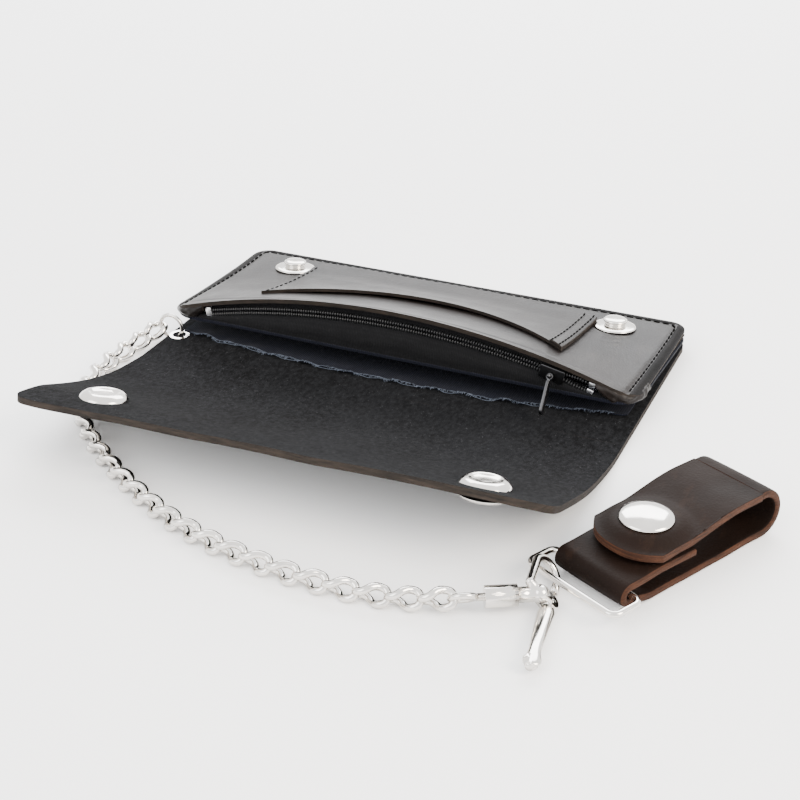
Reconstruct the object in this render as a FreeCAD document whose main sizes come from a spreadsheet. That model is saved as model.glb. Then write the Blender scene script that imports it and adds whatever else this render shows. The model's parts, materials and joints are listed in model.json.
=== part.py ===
import FreeCAD, Part
import math
import os

from FreeCAD import Placement, Rotation, Vector

# A long bifold chain wallet lying open on its back leather. +X runs along the wallet, -Y is
# the side that the flap opens to, +Z is up. The origin is on the underside of the back
# leather, midway along its length, below the mouth of the zip pocket.

SIZES = {
    # wallet body
    "wallet_long": 175.0,
    "body_deep": 70.0,
    "leather_thick": 2.2,
    "lining_thick": 0.5,
    "panel_thick": 1.6,
    "floor_thick": 1.0,
    "body_corner": 9.0,
    "flap_corner": 12.0,
    "front_lip": 5.9,
    "spine_deep": 13.4,
    "flap_deep": 76.7,
    "flap_rise": 15.4,
    "flap_shut_slope": -1.0,
    "leather_gap": 0.15,
    # zip pocket
    "panel_end_high": 12.3,
    "panel_hump": 15.2,
    "panel_flat_from": 45.0,
    "panel_back_hump": 2.0,
    "panel_back_high": 9.3,
    "floor_front_low": 9.3,
    "floor_back_low": 3.3,
    "press_pivot_back": 1.0,
    "press_pivot_high": 3.6,
    "press_angle": 5.2,
    "seam_wide": 6.0,
    "slip_long": 114.0,
    "slip_deep": 42.0,
    "slip_thick": 1.2,
    "slip_front": 14.0,
    "slip_bow": 22.0,
    "slip_room": 0.35,
    "slip_seam": 0.05,
    # zipper
    "zip_long": 141.0,
    "zip_sagitta": 8.7,
    "zip_end_high": 13.0,
    "zip_behind": 1.0,
    "coil_wide": 1.7,
    "coil_thick": 1.5,
    "coil_gap": 0.9,
    "tape_thick": 0.7,
    "stop_long": 2.4,
    "slider_at": 58.5,
    "slider_long": 8.5,
    "slider_wide": 4.8,
    "slider_back_wide": 3.6,
    "slider_plate": 1.0,
    "slider_play": 0.25,
    "bridge_long": 3.0,
    "bridge_thick": 0.5,
    "crown_wire": 0.5,
    "crown_span": 3.0,
    "crown_high": 1.6,
    "crown_head_dia": 1.6,
    "pull_long": 13.0,
    "pull_wide": 3.4,
    "pull_thick": 1.0,
    "pull_lean": 38.0,
    "pull_eye_wall": 0.6,
    "pull_play": 0.08,
    # line 24 snap fasteners
    "snap_along": 64.3,
    "snap_from_edge": 16.75,
    "snap_dia": 15.9,
    "cap_high": 2.4,
    "cap_rim": 0.8,
    "post_dia": 3.6,
    "post_play": 0.1,
    "socket_high": 2.7,
    "socket_bore": 9.4,
    "stud_flange_dia": 15.4,
    "stud_flange_thick": 0.8,
    "stud_neck_dia": 7.6,
    "stud_head_dia": 8.6,
    "stud_high": 3.4,
    "rivet_dia": 10.0,
    "rivet_thick": 0.8,
    "snap_play": 0.3,
    # grommet and ring
    "grommet_in": 3.9,
    "grommet_front": 1.0,
    "grommet_bore": 5.0,
    "grommet_flange": 7.4,
    "grommet_wall": 0.4,
    "skive_deep": 1.65,
    "skive_wide": 9.0,
    "ring_low": 0.05,
    "ring_mean": 9.0,
    "ring_wire": 1.4,
    # chain
    "link_pitch": 9.1,
    "link_wide": 7.4,
    "link_wire": 2.0,
    "link_slack": 0.35,
    "link_tilt": 45.0,
    # clasp
    "eye_mean": 7.0,
    "eye_wire": 1.8,
    "swivel_turn": 29.0,
    "stem_dia": 2.2,
    "stem_head_dia": 3.8,
    "stem_head_thick": 1.2,
    "stem_play": 0.08,
    "collar_dia": 6.2,
    "collar_long": 9.0,
    "collar_wall": 3.0,
    "collar_gap": 1.4,
    "neck_dia": 4.4,
    "clasp_reach": 21.0,
    "clasp_turn": 98.6,
    "clasp_tilt": 50.0,
    "hook_wide": 9.0,
    "hook_wire": 2.4,
    "hook_leg": 10.0,
    "hook_tip_leg": 4.2,
    "gate_wire": 2.0,
    "gate_gap": 0.3,
    "lever_pivot_out": 3.9,
    "lever_knuckle": 3.8,
    "lever_thick": 2.0,
    "lever_pin_dia": 1.5,
    "lever_pin_play": 0.06,
    "lever_long": 29.0,
    "lever_tip_wide": 4.6,
    "ear_thick": 0.8,
    "ear_gap": 0.15,
    # belt loop
    "loop_wire": 2.0,
    "loop_long": 33.0,
    "loop_deep": 10.5,
    "loop_corner": 2.5,
    "loop_high": 5.2,
    "loop_past_hook": 9.0,
    "strap_turn": 63.0,
    "strap_wide": 26.0,
    "strap_shift": 0.0,
    "strap_thick": 2.4,
    "strap_roll_play": 0.35,
    "strap_long": 55.3,
    "strap_return": 26.0,
    "strap_fold_rise": 13.4,
    "strap_tab_end": 5.0,
    "strap_snap_at": 19.0,
    "strap_ease": 9.0,
}

# Where the chain lies: from the ring, round the corner of the flap and along its free edge.
CHAIN_ROUTE = [
    (-93.6, -18.0, 4.0),
    (-94.3, -36.0, 3.05),
    (-88.5, -56.0, 3.05),
    (-75.7, -73.1, 3.05),
    (-60.4, -85.9, 3.05),
    (-39.2, -99.6, 3.05),
    (-16.0, -110.8, 3.05),
    (9.2, -117.2, 3.05),
    (36.4, -119.5, 3.05),
    (58.5, -116.8, 3.6),
    (71.7, -112.9, 5.2),
    (84.0, -107.0, 5.2),
]
CHAIN_RUNS = [3, 3, 3, 3, 3, 3, 4, 4]

X = Vector(1, 0, 0)
Y = Vector(0, 1, 0)
Z = Vector(0, 0, 1)

doc = FreeCAD.newDocument("ChainWallet")
sheet = doc.addObject("Spreadsheet::Sheet", "Sizes")
for row, (alias, value) in enumerate(SIZES.items(), start=1):
    sheet.set(f"A{row}", alias)
    sheet.set(f"B{row}", str(value))
    sheet.setAlias(f"B{row}", alias)
doc.recompute()


class Sheet:
    """The driving sizes, read back from the spreadsheet."""

    def __getattr__(self, alias):
        return float(sheet.get(alias))


S = Sheet()
nodes = {}


def node(label, feature):
    """Name a finished sub-part; its label names its file."""
    feature.Label = label
    nodes[label] = feature
    return feature


def turned(direction, start=Z):
    return Rotation(start, direction)


def frame(x_axis, z_axis):
    """The rotation whose local X and Z lie along these two directions."""
    z_axis = (z_axis - x_axis * x_axis.dot(z_axis)).normalize()
    y_axis = z_axis.cross(x_axis)
    return Rotation(x_axis, y_axis, z_axis, "ZXY")


def cylinder(name, dia, high, at=Vector(), along=Z):
    """A cylinder whose diameter and height are sheet expressions."""
    c = doc.addObject("Part::Cylinder", name)
    c.setExpression("Radius", f"({dia}) / 2")
    c.setExpression("Height", high)
    c.Placement = Placement(at, turned(along))
    return c


def box(name, long, wide, high, at, turn=Rotation()):
    """A box whose three sides are sheet expressions."""
    b = doc.addObject("Part::Box", name)
    b.setExpression("Length", long)
    b.setExpression("Width", wide)
    b.setExpression("Height", high)
    b.Placement = Placement(at, turn)
    return b


def ball(name, dia, at):
    s = doc.addObject("Part::Sphere", name)
    s.setExpression("Radius", f"({dia}) / 2")
    s.Placement = Placement(at, Rotation())
    return s


def ring(name, mean_dia, wire, at, turn, sweep=360):
    """A round ring, or the part of one, about the local Z axis."""
    t = doc.addObject("Part::Torus", name)
    t.setExpression("Radius1", f"({mean_dia}) / 2")
    t.setExpression("Radius2", f"({wire}) / 2")
    t.Angle3 = sweep
    t.Placement = Placement(at, turn)
    return t


def fuse(name, *shapes):
    f = doc.addObject("Part::MultiFuse", name)
    f.Shapes = list(shapes)
    f.Refine = True
    return f


def cut(name, base, *tools):
    c = doc.addObject("Part::Cut", name)
    c.Base = base
    c.Tool = tools[0] if len(tools) == 1 else fuse(name + "_tools", *tools)
    return c


def common(name, *shapes):
    c = doc.addObject("Part::MultiCommon", name)
    c.Shapes = list(shapes)
    return c


def solid(name, shape, placement=Placement()):
    """A sub-part that Part's own functions make."""
    f = doc.addObject("Part::Feature", name)
    f.Shape = shape
    f.Placement = placement
    return f


def outline(steps):
    """A closed list of edges: a step is a point, or a middle point and an end point of an arc."""
    edges = []
    last = steps[0]
    for step in steps[1:] + [steps[0]]:
        if isinstance(step, tuple):
            edges.append(Part.Arc(last, step[0], step[1]))
            last = step[1]
        elif (step - last).Length > 1e-6:
            edges.append(Part.LineSegment(last, step))
            last = step
    return edges


def pad(name, role, steps, length, placement=Placement(), midplane=False):
    """A body with one sketch of straight and round edges, padded by a sheet expression."""
    body = doc.addObject("PartDesign::Body", name)
    sketch = body.newObject("Sketcher::SketchObject", name + "_outline")
    plane = [f for f in body.Origin.OriginFeatures if f.Role == role][0]
    sketch.AttachmentSupport = [(plane, "")]
    sketch.MapMode = "FlatFace"
    for edge in outline(steps):
        sketch.addGeometry(edge, False)
    feature = body.newObject("PartDesign::Pad", name + "_pad")
    feature.Profile = sketch
    feature.setExpression("Length", length)
    feature.Midplane = midplane
    body.Placement = placement
    return body


def rounded(wide, deep, near_corner, far_corner):
    """A plan outline from x = -wide/2 and y = 0: a rounded rectangle, going round from its near left."""
    half = wide / 2
    n, f = near_corner, far_corner
    k = 1 - math.sqrt(0.5)
    return [
        Vector(-half + n, 0),
        Vector(half - n, 0),
        (Vector(half - n * k, n * k), Vector(half, n)),
        Vector(half, deep - f),
        (Vector(half - f * k, deep - f * k), Vector(half - f, deep)),
        Vector(-half + f, deep),
        (Vector(-half + f * k, deep - f * k), Vector(-half, deep - f)),
        Vector(-half, n),
        (Vector(-half + n * k, n * k), Vector(-half + n, 0)),
    ]


def plan(name, deep, near_corner, far_corner, high, at=Vector()):
    """A tall prism with the wallet's length, for trimming a sheet to its plan outline."""
    steps = rounded(S.wallet_long, deep, near_corner, far_corner)
    return pad(name, "XY_Plane", steps, high, Placement(at, Rotation()))


# --- outer leather: back, spine and flap --------------------------------------------------
half_long = S.wallet_long / 2
leather_mid = S.leather_thick / 2
lip_edge = -S.front_lip
knuckle = leather_mid + S.leather_gap  # a fold's rounded end and the slit beside it
corner_small = 3.0

grommet = Vector(-half_long + S.grommet_in, -S.grommet_front, 0)
back_slab = pad(
    "back_slab",
    "XY_Plane",
    rounded(S.wallet_long, S.body_deep + S.front_lip - knuckle, 0.4, corner_small),
    "Sizes.leather_thick",
    Placement(Vector(0, lip_edge + knuckle, 0), Rotation()),
)
skive = box(
    "skive",
    "Sizes.grommet_in + Sizes.grommet_flange",
    "Sizes.skive_wide",
    "Sizes.skive_deep",
    Vector(-half_long - S.grommet_flange / 2, grommet.y - S.skive_wide / 2, 0),
)
back_hole = cylinder(
    "back_hole", "Sizes.grommet_bore + 2 * Sizes.grommet_wall", "Sizes.leather_thick", grommet
)
node("outer_back", cut("outer_back_cut", back_slab, skive, back_hole))

# Each folding panel has a round edge on its fold line, at mid leather.
fold_one = Vector(0, lip_edge, leather_mid)
fold_two = Vector(0, lip_edge - S.spine_deep, leather_mid)


def folding_panel(name, reach, far_end, corner):
    """A leather panel that runs from its fold line towards -Y; local origin on the fold line."""
    profile = [
        Vector(0, leather_mid),
        (Vector(leather_mid, 0), Vector(0, -leather_mid)),
        Vector(-reach, -leather_mid),
        Vector(-reach, leather_mid),
    ]
    strip = pad(
        name + "_strip",
        "YZ_Plane",
        profile,
        "Sizes.wallet_long",
        Placement(Vector(-half_long, 0, 0), Rotation()),
    )
    if not corner:
        return strip
    steps = rounded(S.wallet_long, far_end, corner, 0.4)
    mask = pad(
        name + "_mask",
        "XY_Plane",
        steps,
        "4 * Sizes.leather_thick",
        Placement(Vector(0, -reach, -2 * S.leather_thick), Rotation()),
    )
    return common(name + "_trim", strip, mask)


spine = folding_panel("spine", S.spine_deep - knuckle, 0, 0)
spine.Placement = Placement(fold_one - X * half_long, Rotation())
node("spine_panel", spine)

flap_turn = Rotation(X, -S.flap_rise)
flap_place = Placement(fold_two, flap_turn)
flap_plate = folding_panel("flap", S.flap_deep, S.flap_deep + 2 * leather_mid, S.flap_corner)
flap_holes = []
for side in (-1, 1):
    at = Vector(side * S.snap_along, -S.flap_deep + S.snap_from_edge, -S.leather_thick)
    flap_holes.append(
        cylinder(f"flap_hole{side}", "Sizes.post_dia + 2 * Sizes.post_play", "2 * Sizes.leather_thick", at)
    )
flap = cut("flap_cut", flap_plate, *flap_holes)
flap.Placement = flap_place
node("outer_flap", flap)

# --- bill compartment lining --------------------------------------------------------------
lining = pad(
    "lining_sheet",
    "XY_Plane",
    rounded(S.wallet_long - 2, S.body_deep - 3, 12, corner_small),
    "Sizes.lining_thick",
    Placement(Vector(0, 1.5, S.leather_thick), Rotation()),
)
lining_notch = box(
    "lining_notch",
    "2 * Sizes.grommet_flange",
    "2 * Sizes.grommet_flange",
    "4 * Sizes.lining_thick",
    Vector(-half_long - S.grommet_flange, grommet.y - S.grommet_flange, S.leather_thick - S.lining_thick),
)
node("bill_lining", cut("bill_lining_cut", lining, lining_notch))

# --- zip pocket: floor, top panel and end seams --------------------------------------------


def bowed(x, end_high, rise):
    """Height of an arc over the wallet's length, from its ends to its middle."""
    if rise == 0:
        return end_high
    bow = (half_long**2 + rise**2) / (2 * rise)
    return end_high + rise - bow + math.sqrt(bow**2 - x**2)


def on_panel(x, y, above=0.0):
    """A point on the top panel's upper face: humped at the mouth and nearly flat at the back."""
    front = bowed(x, S.panel_end_high, S.panel_hump)
    middle = bowed(x, S.panel_back_high, S.panel_back_hump)
    if y < S.panel_flat_from:
        t = y / S.panel_flat_from
        return Vector(x, y, front * (1 - t) + middle * t + above)
    t = (y - S.panel_flat_from) / (S.body_deep - S.panel_flat_from)
    return Vector(x, y, middle * (1 - t) + S.panel_back_high * t + above)


def panel_section(y, low, high, reach):
    """A closed section across the panel at one depth, between two heights above its upper face."""
    below = Part.Arc(*[on_panel(x, y, low) for x in (-reach, 0, reach)]).toShape()
    over = Part.Arc(*[on_panel(x, y, high) for x in (-reach, 0, reach)]).toShape()
    ends = [
        Part.LineSegment(on_panel(x, y, low), on_panel(x, y, high)).toShape() for x in (-reach, reach)
    ]
    return Part.Wire(Part.__sortEdges__([below, ends[1], over, ends[0]]))


def sheet_over(name, *sections):
    return solid(name, Part.makeLoft(list(sections), True, True))


def floor_section(y):
    """A straight section across the pocket's floor."""
    t = y / S.body_deep
    low = S.floor_front_low * (1 - t) + S.floor_back_low * t
    x = half_long + trim
    corners = [
        Vector(-x, y, low),
        Vector(x, y, low),
        Vector(x, y, low + S.floor_thick),
        Vector(-x, y, low + S.floor_thick),
    ]
    return Part.makePolygon(corners + corners[:1])


trim = 1.0
body_plan = plan("body_plan", S.body_deep, S.body_corner, corner_small, "Sizes.panel_hump * 4")
floor_slab = sheet_over("floor_slab", floor_section(-trim), floor_section(S.body_deep + trim))
node("zip_pocket_floor", common("zip_floor_trim", floor_slab, body_plan))
panel_rows = (-trim, S.panel_flat_from, S.body_deep + trim)
top_slab = sheet_over(
    "top_slab", *[panel_section(y, -S.panel_thick, 0, half_long + trim) for y in panel_rows]
)

press_line = Vector(0, S.body_deep - S.press_pivot_back, S.press_pivot_high)
shut_fold_two = fold_one + Z * S.spine_deep
# The snap's axis stands square to the closed flap, and leans back at rest by the press angle.
stud_lean = math.radians(S.press_angle - S.flap_shut_slope)
stud_axis = Vector(0, math.sin(stud_lean), math.cos(stud_lean))
snap_reach = S.flap_deep - S.snap_from_edge
shut_dir = Vector(0, math.cos(math.radians(S.flap_shut_slope)), math.sin(math.radians(S.flap_shut_slope)))
shut_down = Vector(0, shut_dir.z, -shut_dir.y)
press = Rotation(X, S.press_angle)


def at_rest(point):
    """A point on the pressed pocket, moved back to where it is with the pocket at rest."""
    return press_line + press.inverted().multVec(point - press_line)


def seat(side):
    """Where a stud's flange meets the top panel."""
    shut = shut_fold_two + X * side * S.snap_along + shut_dir * snap_reach
    drop = leather_mid + S.stud_high + S.snap_play
    return at_rest(shut + shut_down * drop)


stud_places = {"left": seat(-1), "right": seat(1)}
seats = []
for side, at in stud_places.items():
    seats.append(cylinder(f"seat_{side}", "Sizes.snap_dia + 0.4", "4 * Sizes.stud_high", at, stud_axis))
    seats.append(
        cylinder(
            f"seat_hole_{side}",
            "Sizes.post_dia + 2 * Sizes.post_play",
            "8 * Sizes.panel_thick",
            at - stud_axis * 4 * S.panel_thick,
            stud_axis,
        )
    )
    seats.append(
        cylinder(
            f"rivet_room_{side}",
            "Sizes.rivet_dia + 0.6",
            "4 * Sizes.panel_thick",
            at - stud_axis * (S.panel_thick * 5 - 0.4),
            stud_axis,
        )
    )
top_trim = common("top_trim", top_slab, body_plan)
node("top_panel", cut("top_panel_cut", top_trim, *seats))

# Seams: the stitched stack of leather that closes each end of the pocket.
seam_gap = 0.1
seam_rows = (12.0, S.panel_flat_from, S.body_deep - 2.0)


def seam_section(y, near, far):
    """A seam's four corners at one depth, between the floor and the panel's underside."""
    t = y / S.body_deep
    low = S.floor_front_low * (1 - t) + S.floor_back_low * t + S.floor_thick + seam_gap
    high = on_panel(far, y, -S.panel_thick - seam_gap).z
    corners = [Vector(near, y, low), Vector(far, y, low), Vector(far, y, high), Vector(near, y, high)]
    return Part.makePolygon(corners + corners[:1])


for side, name in ((-1, "left"), (1, "right")):
    far = side * (half_long - 0.5)
    near = far - side * S.seam_wide
    wires = [seam_section(y, near, far) for y in seam_rows]
    node(f"end_seam_{name}", solid(f"end_seam_{name}_block", Part.makeLoft(wires, True, True)))

# --- slip pocket on the top panel ----------------------------------------------------------


slip_half = S.slip_long / 2
slip_back = S.slip_front + S.slip_deep
slip_rows = ((S.slip_front, S.slip_room), (S.panel_flat_from, S.slip_room), (slip_back, S.slip_seam))
slip_slab = sheet_over(
    "slip_slab", *[panel_section(y, up, up + S.slip_thick, slip_half) for y, up in slip_rows]
)
mouth_steps = [
    Vector(-slip_half + 2, slip_back),
    Vector(-slip_half, S.slip_front + 2),
    Vector(-slip_half + 2, S.slip_front),
    (Vector(0, S.slip_front + S.slip_bow), Vector(slip_half - 2, S.slip_front)),
    Vector(slip_half, S.slip_front + 2),
    Vector(slip_half - 2, slip_back),
]
slip_plan = pad("slip_plan", "XY_Plane", mouth_steps, "Sizes.panel_hump * 4")
snap_clear = [
    cylinder(
        f"slip_clear_{side}",
        "Sizes.snap_dia + 1.2",
        "4 * Sizes.snap_dia",
        at - stud_axis * 20,
        stud_axis,
    )
    for side, at in stud_places.items()
]
node("slip_pocket", cut("slip_pocket_cut", common("slip_trim", slip_slab, slip_plan), *snap_clear))

# --- zipper --------------------------------------------------------------------------------
zip_half = S.zip_long / 2
zip_bow = (zip_half**2 + S.zip_sagitta**2) / (2 * S.zip_sagitta)
zip_centre = Vector(0, 0, S.zip_end_high + S.zip_sagitta - zip_bow)
coil_back = S.zip_behind + S.coil_thick
tape_back = coil_back + S.tape_thick


def zip_point(x, off=0.0):
    """A point on the zipper's line, off millimetres further from the arc's centre, as x and z."""
    a = math.asin(x / zip_bow)
    r = zip_bow + off
    return Vector(r * math.sin(a), zip_centre.z + r * math.cos(a))


def arc_strip(name, low, high, reach, front, thick):
    """A strip of the zipper between two offsets from its line, standing in the XZ plane."""
    steps = [
        zip_point(-reach, low),
        (zip_point(0, low), zip_point(reach, low)),
        zip_point(reach, high),
        (zip_point(0, high), zip_point(-reach, high)),
    ]
    return pad(name, "XZ_Plane", steps, thick, Placement(Vector(0, front, 0), Rotation()))


half_gap = S.coil_gap / 2
coil_edge = half_gap + S.coil_wide
coils = {"upper": (half_gap, coil_edge), "lower": (-coil_edge, -half_gap)}
for where, (low, high) in coils.items():
    node(
        f"zipper_coil_{where}",
        arc_strip(f"coil_{where}_strip", low, high, zip_half, coil_back, "Sizes.coil_thick"),
    )
tape_reach = zip_half + 1.5
tape_seam = 0.05


def under_panel(x):
    p = on_panel(x, tape_back, -S.panel_thick - tape_seam)
    return Vector(p.x, p.z)


tape_upper_steps = [
    zip_point(-tape_reach, half_gap),
    (zip_point(0, half_gap), zip_point(tape_reach, half_gap)),
    under_panel(tape_reach),
    (under_panel(0), under_panel(-tape_reach)),
]
floor_slope = (S.floor_front_low - S.floor_back_low) / S.body_deep
skirt_low = S.floor_front_low + S.floor_thick - floor_slope * coil_back + tape_seam
tape_lower_steps = [
    Vector(-tape_reach, skirt_low),
    Vector(tape_reach, skirt_low),
    zip_point(tape_reach, -half_gap),
    (zip_point(0, -half_gap), zip_point(-tape_reach, -half_gap)),
]
for where, steps in (("upper", tape_upper_steps), ("lower", tape_lower_steps)):
    place = Placement(Vector(0, tape_back, 0), Rotation())
    node(f"zipper_tape_{where}", pad(f"tape_{where}", "XZ_Plane", steps, "Sizes.tape_thick", place))


def zip_frame(x):
    """Where the zipper is at x, with local X along it and local Z away from the arc's centre."""
    p = zip_point(x)
    return Placement(Vector(p.x, 0, p.y), Rotation(Y, math.degrees(math.asin(x / zip_bow))))


stop_play = 0.1


def stop(name, x, low, high):
    b = box(
        name,
        "Sizes.stop_long",
        "Sizes.coil_thick",
        f"{high - low}",
        Vector(-S.stop_long / 2, coil_back - S.coil_thick, low),
    )
    b.Placement = zip_frame(x).multiply(b.Placement)
    return b


stop_x = zip_half + stop_play + S.stop_long / 2
node("zipper_bottom_stop", stop("bottom_stop", -stop_x, -coil_edge, coil_edge))
node(
    "zipper_top_stops",
    fuse(
        "top_stops",
        stop("top_stop_upper", stop_x, half_gap, coil_edge),
        stop("top_stop_lower", stop_x, -coil_edge, -half_gap),
    ),
)

# The slider: a front and a back plate joined by a bridge between the coils, and a crown.
slide_place = zip_frame(S.slider_at)
front_face = S.zip_behind - S.slider_play
back_face = tape_back + S.slider_play


def slider_block(name, long, wide, y_low, y_high):
    b = box(
        name,
        f"{long}",
        f"{y_high - y_low}",
        f"{wide}",
        Vector(-long / 2, y_low, -wide / 2),
    )
    b.Placement = slide_place.multiply(b.Placement)
    return b


slider = fuse(
    "slider",
    slider_block("slider_front", S.slider_long, S.slider_wide, front_face - S.slider_plate, front_face),
    slider_block("slider_back", S.slider_long, S.slider_back_wide, back_face, back_face + S.slider_plate),
    slider_block("slider_bridge", S.bridge_long, S.bridge_thick, front_face - 0.01, back_face + 0.01),
)
node("slider_body", slider)

# The crown is a headed peg that leans out of the slider; the pull's eye turns on it.
lean = math.radians(S.pull_lean)
hang = Vector(0, -math.sin(lean), -math.cos(lean))
bar_dir = Vector(0, math.cos(lean), -math.sin(lean))
slider_mid = Vector(slide_place.Base.x, front_face - S.slider_plate, slide_place.Base.z)
pivot = slider_mid - Y * S.crown_high
peg_tip = pivot - bar_dir * S.crown_span / 2
peg_foot = pivot + bar_dir * (S.crown_high + 0.1) / bar_dir.y


def rod(name, dia, a, b):
    return cylinder(name, dia, f"{(b - a).Length}", a, (b - a).normalize())


crown = fuse(
    "crown",
    rod("crown_peg", "2 * Sizes.crown_wire", peg_foot, peg_tip),
    ball("crown_head", "Sizes.crown_head_dia", peg_tip),
)
crown_trim = slider_block(
    "crown_trim", S.slider_long, S.slider_wide, front_face - S.slider_plate, back_face
)
node("slider_crown", cut("crown_cut", crown, crown_trim))

eye_dia = "2 * (Sizes.crown_wire + Sizes.pull_play + Sizes.pull_eye_wall)"
eye_long = S.crown_span * 0.45
pull_frame = Rotation(X, bar_dir, -hang, "ZXY")
half_wide = S.pull_wide / 2
pull_steps = [
    Vector(-half_wide, -1.0),
    Vector(-half_wide, -S.pull_long + half_wide),
    (Vector(0, -S.pull_long), Vector(half_wide, -S.pull_long + half_wide)),
    Vector(half_wide, -1.0),
]
pull_plate = pad(
    "pull_plate", "YZ_Plane", pull_steps, "Sizes.pull_thick", Placement(pivot, pull_frame), midplane=True
)
pull_window = box(
    "pull_window",
    "4 * Sizes.pull_thick",
    "Sizes.crown_span + 3",
    "4",
    pivot + pull_frame.multVec(Vector(-2 * S.pull_thick, -S.pull_wide / 2 - 1.5, -1.6)),
    pull_frame,
)
pull_eye = rod("pull_eye", eye_dia, pivot - bar_dir * eye_long / 2, pivot + bar_dir * eye_long / 2)
pull_neck = box(
    "pull_neck",
    "Sizes.pull_thick",
    f"{eye_long}",
    "2.2",
    pivot + pull_frame.multVec(Vector(-S.pull_thick / 2, -eye_long / 2, -2.2)),
    pull_frame,
)
pull_bore = rod(
    "pull_bore",
    "2 * (Sizes.crown_wire + Sizes.pull_play)",
    pivot - bar_dir * S.crown_span,
    pivot + bar_dir * S.crown_span,
)
pull_solid = fuse("pull_solid", cut("pull_open", pull_plate, pull_window), pull_eye, pull_neck)
node("zip_pull", cut("zip_pull_cut", pull_solid, pull_bore))

# --- snap fasteners ------------------------------------------------------------------------


def stud(name, at, axis):
    """The male part on the outside of a panel, with its post through the leather."""
    flange = cylinder(name + "_flange", "Sizes.stud_flange_dia", "Sizes.stud_flange_thick", at, axis)
    neck = cylinder(name + "_neck", "Sizes.stud_neck_dia", "Sizes.stud_high - 0.6", at, axis)
    head_at = at + axis * (S.stud_high - 1.4)
    head = cylinder(name + "_head", "Sizes.stud_head_dia", "1.4", head_at, axis)
    foot = at - axis * S.panel_thick
    post = cylinder(name + "_post", "Sizes.post_dia", "Sizes.panel_thick + 0.2", foot, axis)
    return fuse(name, flange, neck, head, post)


def rivet(name, at, axis):
    """The washer that the stud's post is set in, under the leather."""
    return cylinder(name, "Sizes.rivet_dia", "Sizes.rivet_thick", at, axis)


def cap(name, at, axis, leather):
    """A domed cap on the show side, with its post through the leather; axis points outwards."""
    lens_radius = (S.snap_dia**2 / 4 + (S.cap_high - S.cap_rim) ** 2) / (2 * (S.cap_high - S.cap_rim))
    dome = common(
        name + "_dome",
        ball(name + "_ball", f"{2 * lens_radius}", at + axis * (S.cap_high - lens_radius)),
        cylinder(name + "_blank", "Sizes.snap_dia", "Sizes.cap_high", at, axis),
    )
    post = cylinder(name + "_post", "Sizes.post_dia", f"{leather + 0.2}", at - axis * leather, axis)
    return fuse(name, dome, post)


def socket(name, at, axis):
    """The female part: a thick ring with a bore that the stud's head enters; axis points to its mouth."""
    blank = cylinder(name + "_blank", "Sizes.snap_dia", "Sizes.socket_high", at, axis)
    bore = cylinder(name + "_bore", "Sizes.socket_bore", "Sizes.socket_high", at + axis * 0.3, axis)
    return cut(name, blank, bore)


for side, at in stud_places.items():
    node(f"snap_stud_{side}", stud(f"stud_{side}", at, stud_axis))
    under = at - stud_axis * (S.panel_thick + S.rivet_thick)
    node(f"stud_rivet_{side}", rivet(f"rivet_{side}", under, stud_axis))

flap_normal = flap_turn.multVec(Z)
for sign, side in ((-1, "left"), (1, "right")):
    middle = flap_place.multVec(Vector(sign * S.snap_along, -snap_reach, 0))
    inside = middle + flap_normal * leather_mid
    outside = middle - flap_normal * leather_mid
    node(f"snap_socket_{side}", socket(f"socket_{side}", inside, flap_normal))
    node(f"snap_cap_{side}", cap(f"cap_{side}", outside, -flap_normal, S.leather_thick))

# --- grommet and ring ----------------------------------------------------------------------
grommet_tube = cylinder(
    "grommet_tube",
    "Sizes.grommet_bore + 2 * Sizes.grommet_wall",
    "Sizes.leather_thick - Sizes.skive_deep + Sizes.grommet_wall",
    grommet + Z * S.skive_deep,
)
grommet_rim = cylinder(
    "grommet_rim", "Sizes.grommet_flange", "Sizes.grommet_wall", grommet + Z * S.leather_thick
)
grommet_bore = cylinder("grommet_hole", "Sizes.grommet_bore", "3 * Sizes.leather_thick", grommet)
node("grommet", cut("grommet_cut", fuse("grommet_blank", grommet_tube, grommet_rim), grommet_bore))

# The ring stands up, round the strip of leather between the hole and the wallet's end.
ring_radius = S.ring_mean / 2
bridge_mid = -half_long + (S.grommet_in - S.grommet_bore / 2) / 2
ring_centre = Vector(bridge_mid, grommet.y, S.ring_low + S.ring_wire / 2 + ring_radius)
node(
    "chain_ring",
    ring("chain_ring_wire", "Sizes.ring_mean", "Sizes.ring_wire", ring_centre, Rotation(X, 90)),
)

# --- chain ---------------------------------------------------------------------------------


def rigid_rod(dia, a, b):
    return Part.makeCylinder(dia / 2, (b - a).Length, a, b - a)


def chain_link():
    """One curb link about the origin, along X: each round end leans the other way."""
    bend = (S.link_wide - S.link_wire) / 2
    run = (S.link_pitch + S.link_wire + S.link_slack) / 2 - bend
    wire = S.link_wire / 2
    pieces = []
    corners = {}
    for end in (-1, 1):
        half = Part.makeTorus(bend, wire, Vector(), Z, 0, 360, 180)
        half.rotate(Vector(), Z, -90 * end)
        half.rotate(Vector(), X, S.link_tilt * end)
        half.translate(X * run * end)
        pieces.append(half)
        lean = math.radians(S.link_tilt * end)
        for side in (-1, 1):
            arm = Vector(0, math.cos(lean), math.sin(lean)) * bend * side
            corners[end, side] = X * run * end + arm
    for side in (-1, 1):
        a, b = corners[-1, side], corners[1, side]
        pieces.append(rigid_rod(S.link_wire, a, b))
        pieces += [Part.makeSphere(wire, p) for p in (a, b)]
    return pieces[0].multiFuse(pieces[1:]).removeSplitter()


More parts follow.
